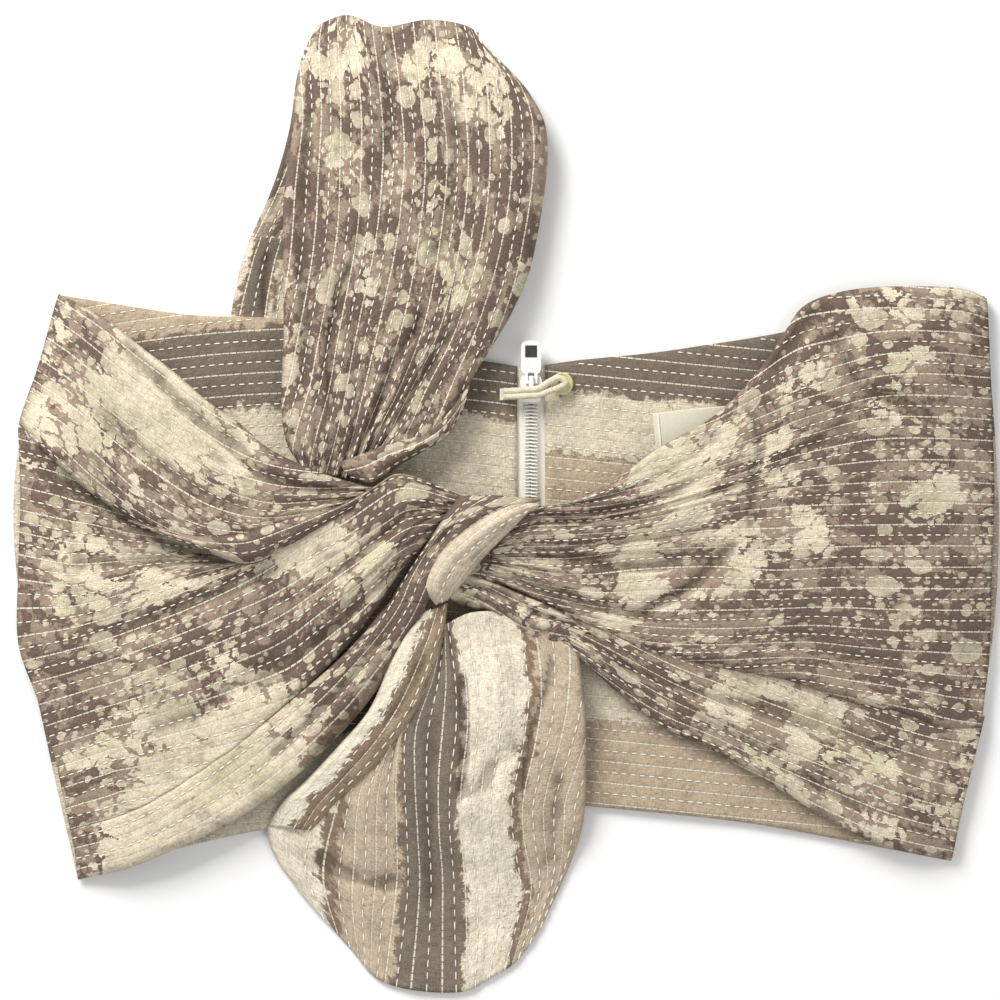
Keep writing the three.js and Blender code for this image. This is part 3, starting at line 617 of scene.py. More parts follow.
def path_tree():
    """Geometry Nodes: copies of an object set at even steps along each path, lying along it."""
    tree = bpy.data.node_groups.new("set_along_path", "GeometryNodeTree")
    tree.interface.new_socket("Geometry", in_out="INPUT", socket_type="NodeSocketGeometry")
    for label, kind in (("Copied", "NodeSocketObject"), ("Spacing", FLOAT), ("Stretch", FLOAT),
                        ("Girth", FLOAT), ("Smallest", FLOAT), ("Seed", "NodeSocketInt"),
                        ("Finish", "NodeSocketMaterial")):
        tree.interface.new_socket(label, in_out="INPUT", socket_type=kind)
    tree.interface.new_socket("Geometry", in_out="OUTPUT", socket_type="NodeSocketGeometry")
    nodes, links = tree.nodes, tree.links
    start, end = nodes.new("NodeGroupInput"), nodes.new("NodeGroupOutput")
    lines = nodes.new("GeometryNodeMeshToCurve")
    even = nodes.new("GeometryNodeResampleCurve")
    even.mode = "LENGTH"
    tangent = nodes.new("GeometryNodeInputTangent")
    turn = nodes.new("FunctionNodeAlignEulerToVector")
    turn.axis = "X"
    info = nodes.new("GeometryNodeObjectInfo")
    place = nodes.new("GeometryNodeInstanceOnPoints")
    size = nodes.new("FunctionNodeRandomValue")
    size.data_type = "FLOAT"
    size.inputs[3].default_value = 1.0
    shape = nodes.new("ShaderNodeCombineXYZ")
    scale = nodes.new("ShaderNodeVectorMath")
    scale.operation = "SCALE"
    real = nodes.new("GeometryNodeRealizeInstances")
    paint = nodes.new("GeometryNodeSetMaterial")
    links.new(start.outputs["Geometry"], lines.inputs[0])
    links.new(lines.outputs[0], even.inputs["Curve"])
    links.new(start.outputs["Spacing"], even.inputs["Length"])
    links.new(tangent.outputs[0], turn.inputs["Vector"])
    links.new(start.outputs["Copied"], info.inputs["Object"])
    links.new(even.outputs[0], place.inputs["Points"])
    links.new(info.outputs["Geometry"], place.inputs["Instance"])
    links.new(turn.outputs[0], place.inputs["Rotation"])
    links.new(start.outputs["Smallest"], size.inputs[2])
    links.new(start.outputs["Seed"], size.inputs["Seed"])
    links.new(start.outputs["Stretch"], shape.inputs[0])
    links.new(start.outputs["Girth"], shape.inputs[1])
    links.new(start.outputs["Girth"], shape.inputs[2])
    links.new(shape.outputs[0], scale.inputs[0])
    links.new(size.outputs[1], scale.inputs["Scale"])
    links.new(scale.outputs[0], place.inputs["Scale"])
    links.new(place.outputs[0], real.inputs[0])
    links.new(real.outputs[0], paint.inputs["Geometry"])
    links.new(start.outputs["Finish"], paint.inputs["Material"])
    links.new(paint.outputs[0], end.inputs[0])
    return tree


set_along_path = path_tree()


def copy_along(name, points, edges, **values):
    """A mesh of copies set along the paths that the points and edges make."""
    mesh = bpy.data.meshes.new(name)
    mesh.from_pydata([tuple(p) for p in points], edges, [])
    piece = bpy.data.objects.new(name, mesh)
    bpy.context.scene.collection.objects.link(piece)
    maker = piece.modifiers.new("copies", "NODES")
    maker.node_group = set_along_path
    for item in set_along_path.interface.items_tree:
        if item.in_out == "INPUT" and item.name in values:
            maker[item.identifier] = values[item.name]
    apply_modifiers(piece)
    piece.data.shade_smooth()
    return piece


def sample(grid, i, j):
    """A grid's value between its points, at fractional row i and column j."""
    i0 = np.clip(np.floor(i).astype(int), 0, grid.shape[0] - 2)
    j0 = np.clip(np.floor(j).astype(int), 0, grid.shape[1] - 2)
    fi, fj = (i - i0)[:, None], (j - j0)[:, None]
    return (grid[i0, j0] * (1 - fi) * (1 - fj) + grid[i0 + 1, j0] * fi * (1 - fj)
            + grid[i0, j0 + 1] * (1 - fi) * fj + grid[i0 + 1, j0 + 1] * fi * fj)


thread_proud = 0.45
no_rows_below, half_rows_below = 0.22, 0.4


def sew(name, patches, seed=3, margin=1.2, gap=stitch_gap, stretch=1.0, girth=1.0):
    """The bold stitch rows of a cloth piece, as one mesh of thread. Rows are left out by halves, and
    then all of them, where the cloth is gathered to less than those shares of its width."""
    points, edges = [], []
    for patch in patches:
        place, v, crowd = patch["place"], patch["v"], patch["crowd"]
        nu, nv = v.shape
        normal = normals_of(place)
        normal *= np.sign(normal[..., 2].mean())
        columns = np.arange(nv)
        for row in range(int(v.min() / stitch_pitch) - 1, int(v.max() / stitch_pitch) + 2):
            if row % 2:
                continue
            wanted = row * stitch_pitch
            last = None
            for i in range(1, nu - 1):
                if not v[i, 0] + margin < wanted < v[i, -1] - margin:
                    last = None
                    continue
                j = np.interp(wanted, v[i], columns)
                tight = crowd[i, int(j)]
                if tight < no_rows_below or tight < half_rows_below and row % 4:
                    last = None
                    continue
                at = np.array([float(i)]), np.array([j])
                spot = sample(place, *at)[0] + sample(normal, *at)[0] * thread_radius * thread_proud
                points.append(spot * MM)
                if last is not None:
                    edges.append((last, len(points) - 1))
                last = len(points) - 1
    spacing = (stitch_length * stretch + gap) * MM
    return copy_along(name, points, edges, Copied=stitch_source, Spacing=spacing, Stretch=stretch,
                      Girth=girth, Smallest=0.82, Seed=seed, Finish=thread_material)


def hang(piece, *nodes, slot, body="garment"):
    """Rides a piece on its body and stands it for the CAD nodes it replaces."""
    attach(piece, body)
    if nodes:
        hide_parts(*nodes)


def dress(name, nodes, patches, faces_up, under, slot, pale=(), seed=3,
          thickness=cloth_thickness, gap=stitch_gap, stretch=1.0, girth=1.0):
    """Builds and sews one cloth piece, and rides its cloth and its stitches on the garment. Its flat area
    is that of the laid cloth, less what its small waves add; its flat size is a rectangle that holds it."""
    cloth, area = build_cloth(name + "_cloth", patches, faces_up, under, pale, thickness)
    rows = sew(name + "_stitches", patches, seed, gap=gap, stretch=stretch, girth=girth)
    hang(cloth, *nodes, slot=slot)
    hang(rows, slot="sewing_thread")
    return cloth


# Each half runs from its side to the zip, and its rows of stitching slope a little.
zip_tape = {side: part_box("zip_tape_" + side) for side in ("left", "right")}
zip_x = (zip_tape["left"][1][0] + zip_tape["right"][0][0]) / 2 / MM
lining_edge = {"left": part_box("back_left_lining")[1][0] / MM,
               "right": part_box("back_right_lining")[0][0] / MM}
lining_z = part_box("back_left_lining")[0][2] / MM + 0.6
outer_z = 0.62


def back_half(side, z, seed, waves):
    edge = lining_edge[side]
    if side == "left":
        guides = [
            [(-189, 88.5, z), (-167, 85, z), (-133, 80, z), (-93, 78, z), (-54, 68, z), (-12, 61, z),
             (edge, 58.5, z)],
            [(-205, 30, z), (-100, 30, z), (edge, 20, z)],
            [(-206, -36, z), (-100, -38, z), (edge, -34, z)],
            [(-194, -100, z), (-100, -92, z), (edge, -84, z)],
            [(-181, -157, z), (-144, -146, z), (-102, -136.5, z), (-66, -131.5, z), (-12, -127.5, z),
             (edge, -126, z)],
        ]
        rows = lambda x, y: 88.0 - y - 0.0009 * (x + 75) ** 2
    else:
        guides = [
            [(edge, 59, z), (30, 61, z), (60, 64, z), (81, 67, z), (117, 73, z), (156, 83, z),
             (201, 88, z)],
            [(edge, 20, z), (110, 26, z), (206, 20, z)],
            [(edge, -22, z), (110, -16, z), (207, -15, z)],
            [(edge, -76, z), (110, -78, z), (202, -74, z)],
            [(edge, -126, z), (30, -126.5, z), (98, -133.5, z), (148, -142.5, z), (187, -150, z)],
        ]
        rows = lambda x, y: 88.0 - y - 0.1 * (x - 16)
    return lay_patch(guides, rows=rows, waves=waves, seed=seed, grain=2.2, roll=(0.3, 0.3),
                     gathers=(14.0, 0.0), widest=0.5)


lining_stripes = {
    "left": [(0, band_tan), (12, band_grey), (46, band_ivory), (96, band_tan), (150, band_grey),
             (184, band_ivory)],
    "right": [(0, band_grey), (39, band_ivory), (66, band_tan), (128, band_ivory), (177, band_tan)],
}
for side, seed in (("left", 11), ("right", 12)):
    lining_cotton = banded_cotton(f"back_{side}_banded", lining_stripes[side], 260.0)
    under_cotton = camo_cotton(f"back_{side}_print", (230.0 + seed * 17, 140.0, 0.0))
    lining = back_half(side, lining_z, seed, 0.28)
    dress(f"back_{side}_lining", [f"back_{side}_lining"], [lining], lining_cotton, lining_cotton,
          "banded_cotton", seed=seed, thickness=0.5)
    outer = back_half(side, outer_z, seed + 4, 0.1)
    dress(f"back_{side}_outer", [f"back_{side}_outer"], [outer], lining_cotton, under_cotton,
          "camo_cotton", seed=seed, thickness=0.5)


# Zip ---------------------------------------------------------------------------------------------
# A moulded white coil zip with woven tapes is sewn into the centre back, between outer and lining.
# Its enamelled slider, bridge and pull tab are the CAD's own; the coil's teeth are set one by one.



def object_place_in_mm(tree):
    place = add_node(tree, "TexCoord").outputs["Object"]
    return add_node(tree, "VectorMath", {"operation": "SCALE"}, in0=place, Scale=mm_in_metre).outputs[0]


tape_material, tree, shader = new_material("zip_tape_twill", 0.8)
place = object_place_in_mm(tree)
twill = add_node(tree, "TexWave", {"bands_direction": "DIAGONAL"}, Vector=place, Scale=0.55, Distortion=0.6,
                 Detail=1.0)
fuzz = add_node(tree, "TexNoise", Vector=place, Scale=2.0, Detail=3.0)
tape_height = calc(tree, "MULTIPLY_ADD", twill.outputs["Fac"], 0.6,
                   calc(tree, "MULTIPLY", fuzz.outputs["Fac"], 0.5))
tree.links.new(blend_colour(tree, tape_height, srgb(226, 220, 204), srgb(250, 246, 236)),
               shader.inputs["Base Color"])
tape_bump = add_node(tree, "Bump", Strength=0.5, Distance=0.0003, Height=tape_height)
tree.links.new(tape_bump.outputs[0], shader.inputs["Normal"])


def paint(material, *nodes):
    """Gives its material to CAD nodes that stay visible."""
    for node in nodes:
        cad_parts[node].data.materials.clear()
        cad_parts[node].data.materials.append(material)


paint(tape_material, "zip_tape_left", "zip_tape_right")

coil_material, tree, shader = new_material("coil_plastic", 0.38)
place = add_node(tree, "TexCoord").outputs["Object"]
cloudy = add_node(tree, "TexNoise", Vector=place, Scale=900.0, Detail=2.0)
tree.links.new(blend_colour(tree, cloudy.outputs["Fac"], srgb(222, 218, 206), srgb(250, 249, 244)),
               shader.inputs["Base Color"])
tree.links.new(calc(tree, "MULTIPLY_ADD", cloudy.outputs["Fac"], 0.25, 0.28), shader.inputs["Roughness"])
tooth_pitch, wire = 1.5, 0.36


def ring_tube(path, radius, sides=6):
    """Vertices and faces of a round tube along a path, open at its ends."""
    path = np.array(path, float)
    run = np.gradient(path, axis=0)
    run /= np.linalg.norm(run, axis=1, keepdims=True)
    side = np.cross(run, (0.02, 0.05, 1.0))
    side /= np.linalg.norm(side, axis=1, keepdims=True)
    up = np.cross(side, run)
    radius = np.broadcast_to(np.array(radius, float), (len(path),))[:, None]
    turns = [2 * math.pi * k / sides for k in range(sides)]
    rings = np.stack([path + radius * (side * math.cos(a) + up * math.sin(a)) for a in turns], axis=1)
    faces = []
    for r in range(len(path) - 1):
        for k in range(sides):
            a, b = r * sides + k, r * sides + (k + 1) % sides
            faces.append((a, a + sides, b + sides, b))
    faces.append(tuple(range(sides)))
    faces.append(tuple(range(len(path) * sides - 1, (len(path) - 1) * sides - 1, -1)))
    return rings.reshape(-1, 3), faces


def coil_tooth(sign):
    """One turn of the coil: out along the tape, a bulged head at the chain's middle, and back."""
    turn = [(0.35, 1.1, -0.6), (0.35, 0.2, -0.6), (0.25, -1.5, -0.4), (0.1, -2.15, 0.1),
            (-0.05, -1.5, 0.55),
            (-0.2, 0.2, 0.65), (-0.32, 1.1, 0.45)]
    steps, bulge = 14, 0.12
    path = [(x, -sign * y, z) for x, y, z in smooth_line(turn, steps)]
    fat = [wire * (1 + bulge * math.exp(-((k - (steps - 1) / 2) / 2.0) ** 2)) for k in range(steps)]
    verts, faces = ring_tube(path, fat)
    mesh = bpy.data.meshes.new("coil_tooth")
    mesh.from_pydata((verts * MM).tolist(), [], faces)
    mesh.shade_smooth()
    return bpy.data.objects.new("coil_tooth", mesh)


for side, sign in (("left", -1), ("right", 1)):
    low, high = (np.array(corner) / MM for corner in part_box("zip_coil_" + side))
    middle = (low + high) / 2
    shift = 0.0 if sign < 0 else tooth_pitch / 2
    ends = [(middle[0], low[1] + 0.8 + shift, middle[2] + 0.05),
            (middle[0], high[1] - 1.4, middle[2] + 0.05)]
    teeth = copy_along("coil_teeth_" + side, np.array(ends) * MM, [(0, 1)], Copied=coil_tooth(sign),
                       Spacing=tooth_pitch * MM, Stretch=1.0, Girth=1.0, Smallest=1.0, Seed=1,
                       Finish=coil_material)
    hang(teeth, "zip_coil_" + side, slot="zip_coil")

enamel, tree, shader = new_material("white_enamel", 0.3)
place = add_node(tree, "TexCoord").outputs["Object"]
sprayed = add_node(tree, "TexNoise", Vector=place, Scale=700.0, Detail=3.0)
rubbed = add_node(tree, "TexNoise", Vector=place, Scale=180.0, Detail=4.0, Roughness=0.7)
tree.links.new(blend_colour(tree, ramp_up(tree, rubbed.outputs["Fac"], 0.55, 0.75), srgb(250, 248, 244),
                            srgb(226, 222, 212)), shader.inputs["Base Color"])
tree.links.new(calc(tree, "MULTIPLY_ADD", rubbed.outputs["Fac"], 0.3, 0.15), shader.inputs["Roughness"])
orange_peel = add_node(tree, "Bump", Strength=0.15, Distance=0.0002, Height=sprayed.outputs["Fac"])
tree.links.new(orange_peel.outputs[0], shader.inputs["Normal"])
shader.inputs["Coat Weight"].default_value = 0.5
paint(enamel, "zip_top_stop_left", "zip_top_stop_right", "zip_bottom_stop", "slider_body",
      "slider_bridge", "pull_tab")

inlay, tree, shader = new_material("black_inlay", 0.45)
place = add_node(tree, "TexCoord").outputs["Object"]
grime = add_node(tree, "TexNoise", Vector=place, Scale=900.0, Detail=4.0)
tree.links.new(blend_colour(tree, grime.outputs["Fac"], srgb(30, 28, 27), srgb(70, 66, 62)),
               shader.inputs["Base Color"])
tree.links.new(calc(tree, "MULTIPLY_ADD", grime.outputs["Fac"], 0.35, 0.25), shader.inputs["Roughness"])
paint(inlay, "pull_tab_inlay")


# Button, loop and label --------------------------------------------------------------------------
# A small pearly button stands on a thread shank at the neck edge. A rolled cotton loop comes over
# the slider from its bar tack and holds it. The blank satin label is sewn down at its two ends.

button_plastic, tree, shader = new_material("button_plastic", 0.25)
place = add_node(tree, "TexCoord").outputs["Object"]
pearl = add_node(tree, "TexNoise", Vector=place, Scale=260.0, Detail=3.0, Distortion=0.8)
tree.links.new(blend_colour(tree, pearl.outputs["Fac"], srgb(176, 172, 92), srgb(243, 240, 190)),
               shader.inputs["Base Color"])
tree.links.new(calc(tree, "MULTIPLY_ADD", pearl.outputs["Fac"], 0.25, 0.12), shader.inputs["Roughness"])
shader.inputs["Coat Weight"].default_value = 0.6
paint(button_plastic, "button")
paint(thread_material, "button_thread", "loop_bar_tack", "label_stitch_left", "label_stitch_right")

rouleau, tree, shader = new_material("rolled_cream_cotton", 0.88)
place = object_place_in_mm(tree)
woven = add_node(tree, "Group", {"node_tree": weave}, Place=place)
uneven = add_node(tree, "TexNoise", Vector=place, Scale=0.5, Detail=3.0)
tree.links.new(blend_colour(tree, uneven.outputs["Fac"], srgb(196, 186, 156), srgb(240, 234, 212)),
               shader.inputs["Base Color"])
roll_bump = add_node(tree, "Bump", Strength=0.7, Distance=0.0006,
                     Height=calc(tree, "ADD", woven.outputs["Height"], uneven.outputs["Fac"]))
tree.links.new(roll_bump.outputs[0], shader.inputs["Normal"])

loop_line = [(-1.6, 45.6, 5.3), (0.4, 45.5, 5.6), (3.2, 45.6, 8.4), (7, 45.8, 9.9), (13, 46.2, 10.2),
             (18, 48.0, 9.7), (21.8, 49.3, 8.9), (24.4, 51.4, 8.5), (21.8, 53.4, 8.9), (18, 52.0, 9.7),
             (13, 48.9, 10.2), (7, 48.3, 9.9), (3.2, 48.0, 8.4), (0.4, 47.9, 5.6), (-1.6, 48.0, 5.3)]
loop_steps, loop_radius = 110, 1.38
line = smooth_line(loop_line, loop_steps)
wobble = [loop_radius + 0.09 * math.sin(k * 1.9) + 0.05 * math.sin(k * 0.7 + 1) for k in range(loop_steps)]
verts, faces = ring_tube(line, wobble, sides=12)
mesh = bpy.data.meshes.new("button_loop_rouleau")
mesh.from_pydata((verts * MM).tolist(), [], faces)
mesh.shade_smooth()
mesh.materials.append(rouleau)
loop = bpy.data.objects.new("button_loop_rouleau", mesh)
bpy.context.scene.collection.objects.link(loop)
hang(loop, "button_loop", slot="cream_cotton", body="loop")

satin, tree, shader = new_material("label_satin", 0.5)
place = place_in_mm(tree)
fine = add_node(tree, "VectorMath", {"operation": "MULTIPLY"}, in0=place, in1=(0.6, 7.0, 1.0))
threads = add_node(tree, "TexNoise", {"noise_dimensions": "2D"}, Vector=fine.outputs[0], Scale=1.0,
                   Detail=2.0)
tree.links.new(blend_colour(tree, threads.outputs["Fac"], srgb(204, 197, 172), srgb(232, 227, 206)),
               shader.inputs["Base Color"])
satin_bump = add_node(tree, "Bump", Strength=0.4, Distance=0.0003, Height=threads.outputs["Fac"])
tree.links.new(satin_bump.outputs[0], shader.inputs["Normal"])
label_patch = lay_patch([[(61, 38.6, 3.8), (78, 40.6, 4.0), (95, 42.0, 3.8)],
                         [(63, 20.0, 3.8), (80, 22.0, 4.0), (97, 23.4, 3.8)]],
                        grain=0.8, roll=(0.1, 0.1), waves=0.06, gathers=(20, 0), seed=31, pucker=0)
label, label_area = build_cloth("neck_label_cloth", [label_patch], satin, satin, (), 0.35)
hang(label, "neck_label", slot="label_satin")


# Left front --------------------------------------------------------------------------------------
# Printed cotton, banded on its reverse, sewn into the left side seam. Its rows run level at the side,
# then climb to the knot; the hem's own width folds over beside the tail and climbs with it.

left_guides = [
    [(-206, 33, 4.6), (-188, 27, 9), (-167, 11, 8.4), (-146, -3, 8.4), (-123, -11, 9),
     (-103, -17, 10.4), (-86, -15, 11.6), (-67, -5, 12.4), (-55, 2, 13.4), (-45, 5, 14.2),
     (-32, 4, 14.6), (-16, 0, 15)],
    [(-205, 2, 5.0), (-180, -4, 11.4), (-159, -13, 9.4), (-135, -19, 9), (-117, -21, 9.8),
     (-101, -19, 11.4), (-86, -15, 12.6), (-67, -5, 13.4), (-54, 2, 14.4), (-45, 5, 15.2),
     (-32, 4, 15.8), (-16, 0, 16)],
    [(-206, -29, 5.0), (-180, -32, 13), (-154, -29, 12.4), (-131, -26, 12), (-112, -24, 12.4),
     (-101, -21, 13.4), (-86, -14, 14.4), (-67, -5, 15.6), (-54, 3, 16.6), (-45, 7, 17.2),
     (-32, 5, 17.6), (-17, 0, 17)],
    [(-206, -57, 5.0), (-180, -52, 13), (-154, -44, 13.4), (-129, -35, 13.8), (-106, -24, 15.2),
     (-87, -11, 17), (-68, -1, 18.6), (-55, 8, 19.6), (-46, 13, 20), (-33, 10, 20.2), (-17, 3, 18.5)],
    [(-197, -84, 5.0), (-167, -74, 13.2), (-129, -55, 14), (-93, -35, 15.4), (-68, -18, 18.4),
     (-51, -6, 21.2), (-39, 1, 22), (-18, 1, 19.4)],
    [(-189, -113, 5.0), (-159, -102, 12.8), (-125, -82, 13.6), (-91, -57, 15), (-66, -35, 17.6),
     (-49, -20, 20.2), (-37, -9, 21), (-21, -3, 19.2)],
    [(-184, -137, 5.0), (-154, -127, 12.2), (-119, -105, 13), (-87, -79, 13.8), (-67, -59, 14.6),
     (-53, -41, 16), (-45, -29, 17), (-35, -17, 17.6), (-23, -6, 18)],
]
left_creases = [
    dict(path=[(-203, 21), (-175, -6), (-150, -23), (-117, -28)], depth=1.2, width=5),
    dict(path=[(-173, -57), (-142, -45), (-112, -34), (-87, -20)], depth=1.4, width=4),
    dict(path=[(-87, -57), (-66, -36), (-47, -17), (-35, -4)], depth=-1.6, width=4.5),
    dict(path=[(-75, -34), (-58, -19), (-41, -6), (-28, 0)], depth=1.7, width=3.2),
    dict(path=[(-112, -82), (-87, -63), (-68, -46), (-54, -29)], depth=1.5, width=4),
    dict(path=[(-163, -99), (-133, -88), (-104, -69), (-83, -52)], depth=0.9, width=5),
    dict(path=[(-108, -101), (-87, -82), (-70, -63), (-57, -45)], depth=1.3, width=4),
    dict(path=[(-198, 18), (-171, 1), (-146, -13), (-114, -26)], depth=1.5, width=3.4),
    dict(path=[(-188, -23), (-163, -25), (-133, -23)], depth=0.9, width=4),
    dict(path=[(-198, 2), (-184, -10), (-180, -36), (-180, -57)], depth=0.8, width=5),
]
left_pale = [
    (-170, 8, 16, 0.9), (-110, -12, 26, 1.0), (-150, -22, 18, 1.1), (-190, 6, 14, -0.8),
    (-190, -32, 12, 0.7),
    (-165, -36, 22, 0.1), (-125, -52, 22, -0.8), (-95, -48, 18, -0.6), (-85, -12, 16, 1.5),
    (-65, -22, 16, 1.3), (-42, 1, 13, -1.6), (-75, -68, 18, -0.9), (-105, -88, 28, 0.9),
    (-140, -100, 30, 1.0), (-150, -140, 26, 1.4), (-150, -76, 16, 0.4), (-110, -128, 26, 1.2),
    (-58, -42, 14, -0.9),
]
hem_guides = [
    [(-184, -137, 5.0), (-154, -127, 12.2), (-119, -105, 13), (-87, -79, 13.4), (-66, -60, 14),
     (-52, -43, 15.4), (-44, -30, 16.8), (-35, -18, 19.5), (-26, -4, 23), (-20, 4, 23)],
    [(-182, -147, 4.9), (-152, -138, 12.2), (-112, -114, 13.4), (-78, -85, 14.6), (-58, -63, 16),
     (-44, -44, 18.4), (-37, -28, 22), (-26, -11, 25.6), (-13, -1, 26), (-3, 4, 22.5)],
    [(-181, -158, 4.8), (-152, -150, 11.6), (-106, -127, 12.8), (-71, -97, 13.4), (-50, -71, 15),
     (-37, -49, 17.8), (-31, -36, 22), (-19, -18, 26), (-3, -6, 25.6), (14, 2, 21.5)],
]
hem_creases = [
    dict(path=[(-108, -113), (-79, -87), (-56, -61), (-41, -38)], depth=1.3, width=3),
    dict(path=[(-87, -111), (-66, -87), (-47, -63), (-35, -44)], depth=1.2, width=2.6),
    dict(path=[(-54, -49), (-45, -33), (-33, -20), (-18, -5)], depth=2.2, width=2.4),
]
hem_pale = [
    (-150, -150, 20, 1.2), (-120, -132, 18, 1.2), (-96, -112, 14, 0.6), (-74, -86, 14, -0.6),
    (-56, -70, 12, 0.9), (-48, -50, 12, -1.4), (-36, -32, 12, -1.6), (-24, -8, 12, -1.0), (-6, 3, 12, -1.8),
]
left_print = camo_cotton("left_front_print", (40.0, 20.0, 0.0))
left_patch = lay_patch(left_guides, left_creases, roll=(0.3, 3.4), seed=41, gathers=(19, 1.5), widest=0.12,
                       roll_from=(-1, 0.56))
hem_patch = lay_patch(hem_guides, hem_creases, roll=(2.6, 2.2), seed=41, gathers=(12, 1.0), widest=0.12,
                      first_row=left_patch["v"].max(), roll_from=(0.5, -1))
dress("left_front_panel", ["left_front_panel"], [left_patch, part_of(hem_patch, 0, 0.74)], left_print,
      plain_reverse, "camo_cotton",
      pale=left_pale + hem_pale, seed=5)


# Left sash ---------------------------------------------------------------------------------------
# The drape from the top corner of the side seam to the knot, in the same doubled cotton. Its lower
# edge is turned under, and its last width folds back over itself in a dark band before the knot.

sash_guides = [
    [(-189, 89, 5.2), (-179, 84, 11.5), (-167, 77, 12), (-152, 65, 12), (-140, 56, 12.5),
     (-125, 43, 13), (-112, 34, 13.5), (-102, 25, 14.5), (-91, 19, 16), (-79, 14, 17), (-67, 10, 17.5),
     (-55, 7, 17)],
    [(-193, 75, 5.2), (-180, 67, 13.5), (-163, 53, 14), (-142, 37, 14.5), (-119, 20, 15.5),
     (-98, 10, 17), (-77, 6, 18), (-56, 5, 17.5)],
    [(-198, 57, 5.2), (-182, 46, 14.5), (-163, 31, 15.5), (-144, 17, 16), (-123, 4, 16.5),
     (-102, -2, 17), (-79, 0, 18), (-57, 4, 18)],
    [(-203, 43, 5.2), (-187, 32, 16), (-171, 17, 17.4), (-152, 1, 18), (-131, -9, 18),
     (-110, -11, 18.2), (-85, -6, 18.5), (-68, -1, 19), (-58, 3, 19)],
    [(-206, 34, 5.0), (-192, 20, 15), (-172, 3, 16), (-152, -9, 16.6), (-133, -17, 16.8),
     (-112, -20, 17), (-87, -13, 17.4), (-70, -3, 18), (-59, 2, 18)],
]
sash_creases = [
    dict(path=[(-167, 74), (-144, 50), (-119, 27), (-93, 15)], depth=1.3, width=4),
    dict(path=[(-175, 44), (-150, 21), (-123, 2), (-96, -3)], depth=0.9, width=5),
    dict(path=[(-123, 34), (-106, 15), (-87, 8), (-64, 6)], depth=1.7, width=3.2),
    dict(path=[(-110, 27), (-96, 15), (-79, 10), (-60, 8)], depth=-1.2, width=2.6),
    dict(path=[(-192, 52), (-171, 25), (-150, 4), (-129, -6)], depth=-0.8, width=5),
]
band_guides = [
    [(-159, -6, 17.5), (-144, -10, 19), (-129, -13, 19.8), (-112, -12, 20.2), (-99, -8, 20.4),
     (-85, -4, 20.8), (-70, 0, 21), (-56, 8, 19.5)],
    [(-155, -8, 17.5), (-140, -13, 20), (-125, -17, 21), (-109, -18, 21.4), (-94, -13, 21.6),
     (-80, -7, 21.8), (-66, 0, 21.6), (-55, 6, 19.5)],
    [(-151, -10, 16), (-136, -16, 17.2), (-123, -21, 17.6), (-108, -25, 17.8), (-92, -18, 18.2),
     (-78, -10, 18.6), (-64, -2, 19), (-54, 5, 18)],
]
sash_pale = [
    (-150, 55, 30, 1.5), (-110, 15, 30, 1.3), (-175, 70, 14, -0.2), (-185, 40, 18, 0.9),
    (-140, 20, 26, 1.0),
    (-120, 48, 18, -0.2), (-150, -5, 12, -0.9), (-118, -2, 14, -0.9), (-160, 12, 14, -0.2),
    (-90, 22, 12, -1.6), (-78, 14, 12, -1.2), (-60, 8, 12, -1.0), (-105, -12, 24, -1.3), (-70, 0, 12, -0.6),
]
sash_print = camo_cotton("left_sash_print", (310.0, 70.0, 0.0))
sash_patch = lay_patch(sash_guides, sash_creases, roll=(1.8, 3.0), seed=51, gathers=(16, 1.3), widest=0.2)
band_patch = lay_patch(band_guides,
                       [dict(path=[(-133, -17), (-110, -18), (-87, -10), (-64, 1)], depth=0.8, width=2)],
                       roll=(1.4, 3.0), seed=53, gathers=(10, 0.8), widest=0.5)
dress("left_sash", ["left_sash"], [sash_patch, band_patch], sash_print, plain_reverse,
      "camo_cotton", pale=sash_pale, seed=6, girth=0.62)


# Right front -------------------------------------------------------------------------------------
# Printed cotton over the banded reverse, from the right side seam. It narrows in deep pleats to the
# knot, and its lower edge laps over the hem's own fold, which runs on under it.

right_guides = [
    [(199, -97, 5.0), (183, -94, 10.5), (162, -87, 11.5), (140, -81, 12), (119, -74, 12.4),
     (98, -70, 12.6), (77, -66, 13), (57, -60, 14), (39, -52, 15), (22, -44, 17), (5, -36, 19),
     (-12, -29, 20)],
    [(203, -61, 5.0), (180, -60, 13), (152, -57, 13.5), (123, -52, 14), (93, -48, 14.4), (64, -43, 15),
     (39, -38, 16.5), (16, -31, 18.5), (-7, -25, 20.5)],
    [(204, -27, 5.0), (180, -27, 13.5), (148, -26, 14), (114, -25, 14.5), (85, -21, 15), (56, -20, 16),
     (28, -21, 17.6), (5, -20, 20), (-7, -20, 21.5)],
    [(205, 6, 5.0), (180, 7, 13.5), (148, 6, 14.2), (119, 4, 14.6), (89, -1, 15), (60, -8, 16),
     (33, -11, 17.8), (9, -12, 20.6), (-2, -15, 22)],
    [(204, 40, 5.0), (180, 41, 13.5), (152, 39, 14), (125, 29, 14.6), (98, 16, 15), (68, 5, 16),
     (39, -3, 17.6), (14, -5, 20.6), (3, -8, 21.5)],
    [(203, 65, 5.0), (180, 67, 13), (154, 64, 13.6), (129, 53, 14), (108, 38, 14.2), (86, 24, 14.4),
     (62, 13, 15.4), (39, 3, 17), (17, -1, 19.4), (7, -3, 20)],
    [(202, 87, 5.0), (191, 91, 9.5), (165, 92, 11.6), (142, 90, 12), (125, 84, 12), (116, 72, 12.4),
     (105, 56, 12.6), (86, 37, 12.8), (62, 23, 13.6), (39, 6, 15), (22, 0, 17), (12, -1, 18.5)],
]
